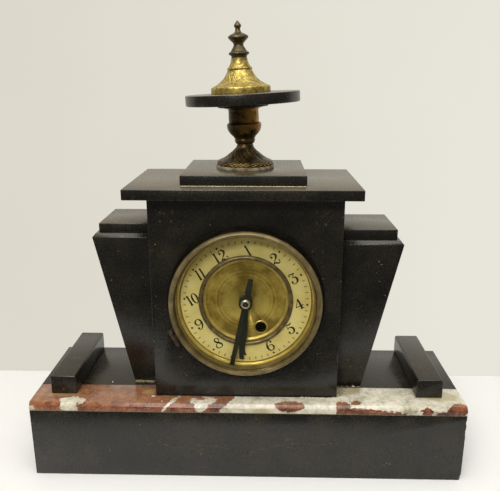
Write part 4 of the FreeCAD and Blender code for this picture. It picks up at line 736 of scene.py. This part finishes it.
# The bezel: the spun brass ring of the dial's door, rolled at its outer edge, with the glass
# resting on a thin rim inside it. The glass is thin, clear and faintly yellow.
bezel_line = [(62.4, 9.0), (61.9, 10.0), (61.2, 11.1), (60.4, 11.5), (59.0, 11.45), (58.4, 11.1),
              (58.6, 10.3), (59.2, 8.2), (57.7, 8.15), (57.7, 7.75), (59.5, 7.7), (61.4, 2.0)]
placed(lathe("brass_bezel_ring", bezel_line, ROUND, bezel_brass, unit, sharp=50), "brass",
       "bezel_ring", body="bezel_door")
outer_line = [(61.4, 2.0), (63.0, 2.0), (63.1, 4.0), (63.0, 7.4), (62.7, 8.4), (62.4, 9.0)]
placed(lathe("brass_bezel_outer_wall", outer_line, ROUND, flange_brass, unit), "brass",
       body="bezel_door")
pane, tree, shader = finish_called("glass_clock_pane")[:3]
share = add(tree, "Math", {0: add(tree, "Fresnel", {"IOR": 1.45}), 1: 0.3}, operation="MULTIPLY")
plug(tree.nodes["Material Output"], {"Surface": add(tree, "MixShader", {
    0: share,
    1: add(tree, "BsdfTransparent", {"Color": "fbfbf4"}),
    2: add(tree, "BsdfGlossy", {"Color": "ffffff", "Roughness": 0.02})})})
tree.nodes.remove(shader)
pane_line = [(0, 8.2), (59.0, 8.2), (58.7, 10.0), (0, 10.0)]
placed(lathe("glass_dial_pane", pane_line, 128, pane, unit), "glass", "bezel_glass",
       body="bezel_door")


# The hinge: brass knuckles on the flange and on the ring, silver-soldered on, and long since
# gone a rusty brown. The seat carries the outer two and the door the middle one.
rusty_brass = mottled(
    "brass_hinge_rusty_brown", 2.381, 5, 0.7, [(0.3, "2e251b"), (0.5, "544537"), (0.7, "786957")],
    (0.4, 0.3), Metallic=0.7, Roughness=0.55)
HINGE_X, HINGE_Z, HALF_KNUCKLE = -67.3, 3.5, 2.5


def knuckle(name, y, reach, leaf_low, body):
    """One knuckle of the hinge with its leaf, which reaches over to the ring."""
    lying = (unit @ Matrix.Translation(Vector((HINGE_X, y, HINGE_Z)) * MM)
             @ Matrix.Rotation(math.radians(90), 4, "X"))
    tube = [(0.9, -2.5), (1.9, -2.5), (2.1, -2.3), (2.1, 2.3), (1.9, 2.5), (0.9, 2.5), (0.9, -2.5)]
    work = bmesh.new()
    work.from_mesh(lathe("tube", tube, 32, rusty_brass, lying))
    work.from_mesh(block_mesh("leaf", (-67.0, y - HALF_KNUCKLE, leaf_low),
                              (-reach, y + HALF_KNUCKLE, leaf_low + 1.4), 0.25, rusty_brass, unit))
    placed(mesh_of(work, name, rusty_brass), "brass", body=body)


def refinished(node, finish):
    """Gives a CAD node, whose own shape shows, its finish."""
    slots = frame["nodes"][node].data.materials
    slots.clear()
    slots.append(finish)


knuckle("brass_seat_knuckle_low", -5.3, 63.3, 0.1, "clock_case")
knuckle("brass_seat_knuckle_high", 5.3, 63.3, 0.1, "clock_case")
knuckle("brass_door_knuckle", 0, 62.2, 2.8, "bezel_door")
refinished("hinge_pins", rusty_brass)


# The dial ring: a cream card ring, printed in black, on the dial plate. It has yellowed and keeps
# a faint sheen from its varnish. The plate's feet are bent, so the dial leans out at the bottom.
dial_card, tree, shader, at = finish_called("card_dial_varnished_yellowed")
cloud = add(tree, "TexNoise", {"Vector": at, "Scale": every(16.67), "Detail": 5})
fleck = add(tree, "TexNoise", {"Vector": at, "Scale": every(1.25), "Detail": 3})
tone = add(tree, "ValToRGB", {"Fac": cloud}, [(0.3, "e0cc84"), (0.5, "f0de98"), (0.72, "f8eaac")])
foxed = add(tree, "ValToRGB", {"Fac": fleck}, [(0.66, "000000"), (0.78, "404040")])
plug(shader, {
    "Base Color": add(tree, "Mix", {0: foxed, 6: tone, 7: "a08040"}, data_type="RGBA"),
    "Roughness": 0.38, "IOR": 1.48})
dial_line = [(37.6, -3.5), (37.6, -2.6), (37.8, -2.5), (54.0, -2.5), (54.2, -2.7), (54.2, -3.5),
             (37.6, -3.5)]
dial_middle = unit.translation
dial = (Matrix.Translation(dial_middle) @ Matrix.Rotation(math.radians(-1.8), 4, "X")
        @ Matrix.Translation(-dial_middle) @ unit)
placed(lathe("card_dial_ring", dial_line, ROUND, dial_card, dial), "enamel", "dial_ring")


# The print: black figures with thick and thin strokes and ball ends, a dot at each hour and
# four fine strokes between, whose ink has faded to brown. The print sits half a millimetre low on
# its card, and the ink lies a few hundredths of a millimetre high.
ink = mottled("ink_printed_black", 0.6667, 2, 0.5, [(0.4, "15120c"), (0.75, "3a3020")],
              Roughness=0.5, IOR=1.48)
brown_ink = mottled("ink_printed_brown_faded", 1.111, 2, 0.5, [(0.35, "6e5426"), (0.7, "9c8248")],
                    Roughness=0.5, IOR=1.48)


# Each figure is drawn in a square of 1 by 1 from its foot: its strokes are points with the pen's
# width there, and its balls are centres with a radius.
FIGURES = {
    "0": (0.56, [[(0.28, 1.0, 0.05), (0.12, 0.84, 0.12), (0.06, 0.5, 0.17), (0.12, 0.16, 0.12),
                  (0.28, 0.0, 0.05), (0.44, 0.16, 0.12), (0.50, 0.5, 0.17), (0.44, 0.84, 0.12),
                  (0.28, 1.0, 0.05)]], []),
    "1": (0.30, [[(0.12, 0.95, 0.13), (0.14, 0.5, 0.15), (0.16, 0.0, 0.17)],
                 [(0.03, 0.03, 0.05), (0.16, 0.02, 0.06), (0.29, 0.03, 0.05)]],
          [(0.10, 0.94, 0.10)]),
    "2": (0.76, [[(0.16, 0.72, 0.05), (0.12, 0.86, 0.06), (0.28, 0.99, 0.07), (0.50, 0.95, 0.13),
                  (0.61, 0.78, 0.18), (0.54, 0.58, 0.14), (0.34, 0.36, 0.07), (0.14, 0.16, 0.05),
                  (0.08, 0.04, 0.05)],
                 [(0.08, 0.04, 0.05), (0.22, 0.15, 0.11), (0.38, 0.10, 0.14), (0.56, 0.0, 0.11),
                  (0.70, 0.08, 0.06), (0.72, 0.24, 0.04)]],
          [(0.19, 0.73, 0.10), (0.70, 0.25, 0.06)]),
    "3": (0.70, [[(0.10, 0.80, 0.05), (0.14, 0.97, 0.07), (0.38, 0.93, 0.11), (0.64, 0.98, 0.06)],
                 [(0.63, 0.97, 0.05), (0.48, 0.79, 0.06), (0.34, 0.61, 0.05)],
                 [(0.34, 0.60, 0.05), (0.52, 0.59, 0.10), (0.65, 0.44, 0.17), (0.64, 0.20, 0.17),
                  (0.48, 0.03, 0.09), (0.26, 0.0, 0.07), (0.12, 0.12, 0.05), (0.14, 0.22, 0.05)]],
          [(0.17, 0.23, 0.10), (0.12, 0.82, 0.06)]),
    "4": (0.76, [[(0.50, 1.0, 0.07), (0.28, 0.66, 0.06), (0.04, 0.32, 0.05)],
                 [(0.02, 0.31, 0.07), (0.38, 0.31, 0.07), (0.76, 0.31, 0.08)],
                 [(0.50, 1.0, 0.13), (0.51, 0.5, 0.16), (0.52, 0.02, 0.17)],
                 [(0.34, 0.02, 0.06), (0.52, 0.02, 0.06), (0.70, 0.02, 0.06)]], []),
    "5": (0.70, [[(0.20, 0.96, 0.06), (0.36, 0.90, 0.12), (0.50, 0.91, 0.11), (0.66, 1.0, 0.05)],
                 [(0.20, 0.97, 0.06), (0.17, 0.75, 0.05), (0.15, 0.52, 0.05)],
                 [(0.15, 0.52, 0.05), (0.32, 0.62, 0.08), (0.52, 0.58, 0.13), (0.64, 0.40, 0.18),
                  (0.61, 0.16, 0.15), (0.44, 0.01, 0.08), (0.24, 0.01, 0.06), (0.11, 0.12, 0.05)]],
          [(0.15, 0.19, 0.10)]),
    "6": (0.70, [[(0.58, 0.84, 0.05), (0.52, 0.97, 0.06), (0.34, 0.97, 0.07), (0.17, 0.76, 0.12),
                  (0.08, 0.42, 0.17), (0.15, 0.12, 0.13), (0.35, 0.0, 0.07), (0.56, 0.09, 0.12),
                  (0.64, 0.29, 0.15), (0.55, 0.49, 0.10), (0.38, 0.56, 0.06), (0.20, 0.46, 0.04),
                  (0.10, 0.34, 0.04)]],
          [(0.56, 0.82, 0.10)]),
    "7": (0.66, [[(0.08, 0.78, 0.04), (0.10, 0.95, 0.07), (0.26, 0.99, 0.12), (0.44, 0.91, 0.12),
                  (0.62, 0.98, 0.05)],
                 [(0.62, 0.97, 0.05), (0.46, 0.66, 0.08), (0.33, 0.34, 0.14), (0.30, 0.02, 0.18)]],
          [(0.10, 0.80, 0.06)]),
    "8": (0.70, [[(0.54, 0.88, 0.07), (0.42, 1.0, 0.06), (0.24, 0.97, 0.09), (0.15, 0.80, 0.13),
                  (0.28, 0.62, 0.16), (0.50, 0.44, 0.17), (0.63, 0.26, 0.14), (0.56, 0.07, 0.09),
                  (0.34, 0.0, 0.07), (0.13, 0.08, 0.10), (0.07, 0.26, 0.10), (0.20, 0.44, 0.06),
                  (0.40, 0.58, 0.05), (0.56, 0.74, 0.06), (0.54, 0.88, 0.07)]],
          [(0.50, 0.88, 0.07)]),
}
nine = [[(0.70 - x, 1 - y, wide) for x, y, wide in stroke] for stroke in FIGURES["6"][1]]
FIGURES["9"] = (0.70, nine, [(0.14, 0.18, 0.10)])
INK_LEVEL = -2.5 + 0.03


def pen_stroke(work, points, place):
    """A flat stroke along the points, as wide as the pen at each."""
    line = curved(points, 5)
    edges = []
    for i, (x, y, wide) in enumerate(line):
        ahead, behind = line[min(i + 1, len(line) - 1)], line[max(i - 1, 0)]
        run = Vector((ahead[0] - behind[0], ahead[1] - behind[1])).normalized()
        side = Vector((-run.y, run.x)) * max(wide * 1.1, 0.065) / 2
        edges.append([work.verts.new(place @ Vector((x + s * side.x, y + s * side.y, 0)))
                      for s in (1, -1)])
    for (a, b), (c, d) in zip(edges, edges[1:]):
        work.faces.new((a, b, d, c))


def spot(work, x, y, radius, place):
    """A round printed spot."""
    turns = [2 * math.pi * i / 20 for i in range(20)]
    work.faces.new([work.verts.new(place @ Vector((
        x + radius * math.cos(turn), y + radius * math.sin(turn), 0.01))) for turn in turns])


def printed(name, work, finish):
    """The printed marks as a piece that faces out of the dial."""
    outward = dial.to_3x3() @ Vector((0, 0, 1))
    work.normal_update()
    for face in work.faces:
        if face.normal.dot(outward) < 0:
            face.normal_flip()
    placed(mesh_of(work, name, finish), "enamel")


FIGURE_HEIGHT, FIGURE_CIRCLE, DOT_CIRCLE, PEN_GAP = 9.2, 43.8, 50.9, 0.10
sheet_place = dial @ Matrix.Translation(Vector((-0.28, -0.53, 0)) * MM)
figures = bmesh.new()
for hour in range(1, 13):
    turn = math.radians(90 - 30 * hour)
    text = str(hour)
    wide = sum(FIGURES[digit][0] for digit in text) + PEN_GAP * (len(text) - 1)
    start = -wide / 2
    for digit in text:
        advance, strokes, balls = FIGURES[digit]
        corner = Vector((FIGURE_CIRCLE * math.cos(turn) + start * FIGURE_HEIGHT,
                         FIGURE_CIRCLE * math.sin(turn) - FIGURE_HEIGHT / 2, INK_LEVEL)) * MM
        place = sheet_place @ Matrix.Translation(corner) @ Matrix.Scale(FIGURE_HEIGHT * MM, 4)
        for stroke in strokes:
            pen_stroke(figures, stroke, place)
        for x, y, radius in balls:
            spot(figures, x, y, radius, place)
        start += advance + PEN_GAP
    spot(figures, DOT_CIRCLE * math.cos(turn), DOT_CIRCLE * math.sin(turn), 0.9,
         sheet_place @ Matrix.Scale(MM, 4) @ Matrix.Translation((0, 0, INK_LEVEL)))
printed("ink_figures_and_hour_dots", figures, ink)
minutes = bmesh.new()
for minute in range(60):
    if minute % 5:
        place = (sheet_place @ Matrix.Rotation(math.radians(6 * minute), 4, "Z") @ Matrix.Scale(MM, 4)
                 @ Matrix.Translation((0, 0, INK_LEVEL)))
        pen_stroke(minutes, [(DOT_CIRCLE - 1.2, 0, 0.65), (DOT_CIRCLE + 1.2, 0, 0.65)], place)
printed("ink_minute_strokes", minutes, brown_ink)


# The dial plate: sheet brass, its sunk middle turned in the lathe, so that fine rings run round
# it, with a painted glow that makes it brightest in its middle. A rounded bead, greyed, covers the
# ring's inner edge, and a bush stands round the hands' arbor.
turned_brass, tree, shader, at = finish_called("brass_plate_turned_in_rings")
centre = dial @ Vector((0, 0, -5.5 * MM))
out = add(tree, "VectorMath", {0: at, 1: tuple(centre)}, operation="DISTANCE")
rings = add(tree, "TexNoise", {"W": out, "Scale": every(1.613), "Detail": 2, "Roughness": 0.6},
            noise_dimensions="1D")
patch = add(tree, "TexNoise", {"Vector": at, "Scale": every(13.33), "Detail": 5, "Roughness": 0.6})
mixed = add(tree, "Math", {0: rings, 1: 0.3, 2: patch}, operation="MULTIPLY_ADD")
# Painted glow: the plate's colour brightens towards its middle.
painted_glow_in_middle = add(tree, "MapRange", {
    "Value": out, "From Min": 8 * MM, "From Max": 22 * MM, "To Min": 0.16, "To Max": 0})
mixed = add(tree, "Math", {0: mixed, 1: painted_glow_in_middle}, operation="ADD")
tone = add(tree, "ValToRGB", {
    "Fac": add(tree, "MapRange", {"Value": mixed, "From Min": 0.4, "From Max": 0.95})},
    [(0.25, "8f7732"), (0.5, "b89c4a"), (0.78, "d4bb66")])
plug(shader, {
    "Base Color": tone, "Metallic": 0.45, "Roughness": 0.4,
    "Normal": add(tree, "Bump", {"Height": rings, "Strength": 0.05, "Distance": 0.2 * MM})})
bead_brass = mottled(
    "brass_bead_greyed", 6.25, 5, 0.6, [(0.3, "5e4e36"), (0.5, "7d6d50"), (0.7, "a09070")],
    Metallic=0.6, Roughness=0.36)
# Painted shade: a near-black finish for the walls of the holes cut through the plate and for the
# collet's recess.
painted_shade_black = mottled("painted_shade_inside_the_holes", 3.333, 3, 0.5, [(0.3, "060504"), (0.7, "15110b")],
                     Roughness=0.8)
WINDING_Y = -27.0


def on_dial(name, outline, sides, finish, *nodes, y=0.0):
    """A turned piece on the leaning dial's axis, or y mm above it."""
    place = dial @ Matrix.Translation((0, y * MM, 0))
    return placed(lathe(name, outline, sides, finish, place), "brass", *nodes)


def hole_cutter(y, radius):
    """A round cutter through the plate, y mm above its axis."""
    line = [(0, -7), (radius, -7), (radius, -5), (0, -5)]
    place = dial @ Matrix.Translation((0, y * MM, 0))
    return linked("cutter", lathe("cutter", line, 64, painted_shade_black, place))


plate = on_dial("brass_dial_plate", [
    (0, -6.3), (54.3, -6.3), (54.3, -3.55), (37.2, -3.55), (36.0, -3.4), (35.5, -3.9), (35.2, -4.5),
    (34.6, -5.0), (33.6, -5.4), (32.4, -5.5), (0, -5.5)], ROUND, turned_brass, "dial_centre")
cut_into(plate, [hole_cutter(WINDING_Y, 4.8), hole_cutter(0, 3.2)])
on_dial("brass_dial_pan_wall", [(33.4, -5.34), (34.6, -4.92), (35.2, -4.42), (35.5, -3.82),
                                (35.9, -3.2)], ROUND, reflector_brass)
bead_line = [(35.5, -3.6)] + [
    (37.4 - 1.9 * math.cos(math.radians(a)), -2.8 + 2.4 * math.sin(math.radians(a)))
    for a in range(0, 181, 12)] + [(39.3, -3.4)]
on_dial("brass_dial_bead", bead_line, ROUND, bead_brass)
on_dial("brass_centre_bush", [(3.2, -6.0), (3.2, -4.8), (3.6, -4.6), (5.2, -4.6), (5.6, -4.9),
                              (5.7, -5.5)], 64, bead_brass)
on_dial("brass_winding_collar", [(4.7, -6.0), (4.7, -4.9), (4.9, -4.6), (5.6, -4.6), (6.1, -4.9),
                                 (6.2, -5.5)], 64, reflector_brass, y=WINDING_Y)


# The hands: steel batons, stamped out and painted a brushed black, the minute hand over the hour
# hand. The blades swell to the middle of their reach. The polished steel collet, domed, and the
# arbor's end hold them.
hand_black = mottled(
    "steel_hand_painted_black", 2, 4, 0.6, [(0.35, "1a1c18"), (0.6, "282b24"), (0.78, "3c3d34")],
    (0.25, 0.2), Metallic=0.2, Roughness=0.42)
to_unit = unit.inverted()
for node, name, middle, tip, longer in (("minute_hand", "steel_minute_hand", 1.28, 1.28, 1.014),
                                        ("hour_hand", "steel_hour_hand", 1.75, 1.12, 1.0)):
    hand = eased_copy(node, name, 0.15, hand_black, "blued_steel")
    far = max((to_unit @ vert.co for vert in hand.data.vertices), key=lambda p: p.xy.length).xy
    along, full = far.normalized(), far.length
    across = Vector((-along.y, along.x))
    for vert in hand.data.vertices:
        flat = to_unit @ vert.co
        reach, off = flat.xy.dot(along), flat.xy.dot(across)
        if reach > 6 * MM:
            swell = tip + (middle - tip) * min(1, 2 * (1 - reach / full))
            reach, off = reach * longer, off * swell
        vert.co = unit @ Vector((*(along * reach + across * off), flat.z))
polished_steel = mottled(
    "steel_collet_polished", 1.429, 4, 0.5, [(0.35, "b0ada4"), (0.7, "dedbd2")],
    Metallic=0.8, Roughness=0.3)
collet_line = [(1.3, 4.4), (4.0, 4.4), (4.0, 4.9), (3.7, 5.5), (3.1, 5.9), (2.6, 6.0), (2.2, 5.85),
               (2.1, 5.3), (1.3, 5.2), (1.3, 4.4)]
placed(lathe("steel_hand_collet", collet_line, 64, polished_steel, unit), "steel", "hand_collet",
       body="minute_hand")
# A near-black ring in the collet's bore: painted shade in the recess.
recess_line = [(1.2, 5.3), (1.9, 5.35), (2.15, 5.9)]
placed(lathe("painted_shade_collet_recess", recess_line, 64, painted_shade_black, unit), "steel", body="minute_hand")


# The movement: brass plates, wheels and pillars with a fine straight grain, grey steel arbors,
# pinions and springs, and a winding arbor painted near black as the shade seen in the winding hole.
# It stays in the dark behind the dial and shows when the back door is open. The brass's drawn
# grain is 0.4 mm, so that it shows.
movement_brass, tree, shader, at = finish_called("brass_movement_grained")
drawn = add(tree, "Mapping", {"Vector": at, "Scale": (1, 1, 0.06)}, vector_type="POINT")
lines = add(tree, "TexNoise", {"Vector": drawn, "Scale": every(0.3846), "Detail": 3})
patch = add(tree, "TexNoise", {"Vector": at, "Scale": every(11.11), "Detail": 5})
plug(shader, {
    "Base Color": add(tree, "ValToRGB", {"Fac": patch},
                      [(0.3, "8a6c34"), (0.52, "b0924f"), (0.72, "c4a864")]),
    "Metallic": 1, "Roughness": 0.32,
    "Normal": add(tree, "Bump", {"Height": lines, "Strength": 0.2, "Distance": 0.1 * MM})})
movement_steel = mottled(
    "steel_movement_grey", 2.857, 5, 0.5, [(0.3, "4a4946"), (0.55, "6e6d6a"), (0.75, "8a8884")],
    Metallic=1, Roughness=0.35)
arbor_painted_shade = mottled("steel_arbor_painted_shade_dark", 2.857, 5, 0.5, [(0.35, "14120f"), (0.7, "2e2a24")],
                      Metallic=0.9, Roughness=0.5)
fittings = {"brass": movement_brass, "steel": movement_steel, "iron": rod_iron}
for part in frame["record"]["subparts"]:
    if part["node"] != "hinge_pins" and part["material_slot"] in fittings:
        refinished(part["node"], fittings[part["material_slot"]])
refinished("centre_wheel", movement_brass)
# The winding arbor is painted near black: the shade seen through the winding hole.
refinished("winding_arbor", arbor_painted_shade)


# The back: a brass ring screwed to the straps, and a thin brass door that snaps into it.
eased_copy("back_ring", "brass_back_ring", 0.25, bezel_brass, "brass")
eased_copy("back_door", "brass_back_door", 0.25, bezel_brass, "brass")


# The floor and the wall behind: a white table and a pale wall. The table ends a little way before
# the clock, so that its upright faces mirror the dim room and stay dark. The wall shows its
# paint's own colour to the eye and in reflections, and three lamps light the clock.
def board(name, corners, low, high, rough, shown=False):
    """A flat painted board. One that is shown glows in its colour, and only to rays that see it."""
    painted, tree, shader, at = finish_called(name)
    cloud = add(tree, "TexNoise", {"Vector": at, "Scale": every(454.5), "Detail": 4})
    side = add(tree, "SeparateXYZ", {"Vector": at})
    share = add(tree, "MapRange", {"Value": side.outputs["X"], "From Min": -0.6, "From Max": 0.6})
    mixed = add(tree, "Math", {0: cloud, 1: 0.5, 2: share}, operation="MULTIPLY_ADD")
    tone = add(tree, "ValToRGB", {
        "Fac": add(tree, "MapRange", {"Value": mixed, "From Min": 0.25, "From Max": 1.25})},
        [(0, low), (1, high)])
    plug(shader, {"Base Color": tone, "Roughness": rough})
    if shown:
        rays = add(tree, "LightPath").outputs
        seen = add(tree, "Math", {0: rays["Is Camera Ray"], 1: rays["Is Glossy Ray"]},
                   operation="ADD")
        seen = add(tree, "Math", {0: seen, 1: rays["Is Transmission Ray"]}, operation="ADD",
                   use_clamp=True)
        glow = add(tree, "Emission", {"Color": tone, "Strength": 1})
        plug(tree.nodes["Material Output"], {
            "Surface": add(tree, "MixShader", {0: seen, 1: shader, 2: glow})})
    mesh = bpy.data.meshes.new(name)
    mesh.from_pydata(corners, [], [(0, 1, 2, 3)])
    mesh.materials.append(painted)
    linked(name, mesh)


def soft_lamp(name, place, target, size, power):
    """A rectangular lamp at place, in metres, that faces the target."""
    light = bpy.data.lights.new(name, "AREA")
    light.shape, light.size, light.size_y, light.energy = "RECTANGLE", *size, power
    made = linked(name, light)
    made.location = place
    made.rotation_euler = (Vector(target) - Vector(place)).to_track_quat("-Z", "Y").to_euler()


board("white_table", [(-2.5, -0.175, 0), (2.5, -0.175, 0), (2.5, 0.131, 0), (-2.5, 0.131, 0)],
      "eae7e2", "f1efeb", 0.5)
board("pale_wall", [(-3, 1.0, -1.2), (3, 1.0, -1.2), (3, 1.0, 2.6), (-3, 1.0, 2.6)],
      "dcd8cc", "e8e5da", 0.9, shown=True)
soft_lamp("front_lamp", (-0.3, -1.1, 1.02), (0, 0, 0.12), (0.6, 0.3), 9)
soft_lamp("wide_lamp", (0, -0.72, 1.22), (0, 0, 0.07), (1.5, 0.25), 5)
soft_lamp("top_lamp", (0, -0.22, 1.45), (0, -0.1, 0), (1.6, 1.0), 13.3)
world = bpy.data.worlds.new("studio")
bpy.context.scene.world = world
world.use_nodes = True
tree = world.node_tree
sky = add(tree, "SeparateXYZ", {"Vector": add(tree, "TexCoord").outputs["Generated"]})
level = add(tree, "ValToRGB", {
    "Fac": add(tree, "MapRange", {"Value": sky.outputs["Z"], "From Min": -1})},
    [(0.3, "62615c"), (0.5, "757470"), (0.8, "9a9994")])
plug(tree.nodes["Background"], {"Color": level, "Strength": 1})
bpy.context.scene.view_settings.view_transform = "Standard"


# The camera stands a little right of the middle and looks down 16 degrees. Its focal length was
# found in pixels of the 500 pixel wide photograph.
YAW, PITCH, ROLL = (math.radians(a) for a in (-1.506, 16.125, -0.058))
FOCAL_PIXELS, PHOTO_WIDTH, SENSOR = 580.5, 500, 36
ahead = Vector((math.sin(YAW) * math.cos(PITCH), math.cos(YAW) * math.cos(PITCH), -math.sin(PITCH)))
across = Vector((math.cos(YAW), -math.sin(YAW), 0))
upward = across.cross(ahead)
across, upward = (math.cos(ROLL) * across + math.sin(ROLL) * upward,
                  math.cos(ROLL) * upward - math.sin(ROLL) * across)
lens = bpy.data.cameras.new("camera")
lens.sensor_width, lens.lens = SENSOR, SENSOR * FOCAL_PIXELS / PHOTO_WIDTH
lens.clip_start, lens.clip_end = 0.01, 20
camera = linked("camera", lens)
camera.matrix_world = (Matrix.Translation((14.55 * MM, -484.1 * MM, 334.75 * MM))
                       @ Matrix((across, upward, -ahead)).transposed().to_4x4())
bpy.context.scene.camera = camera
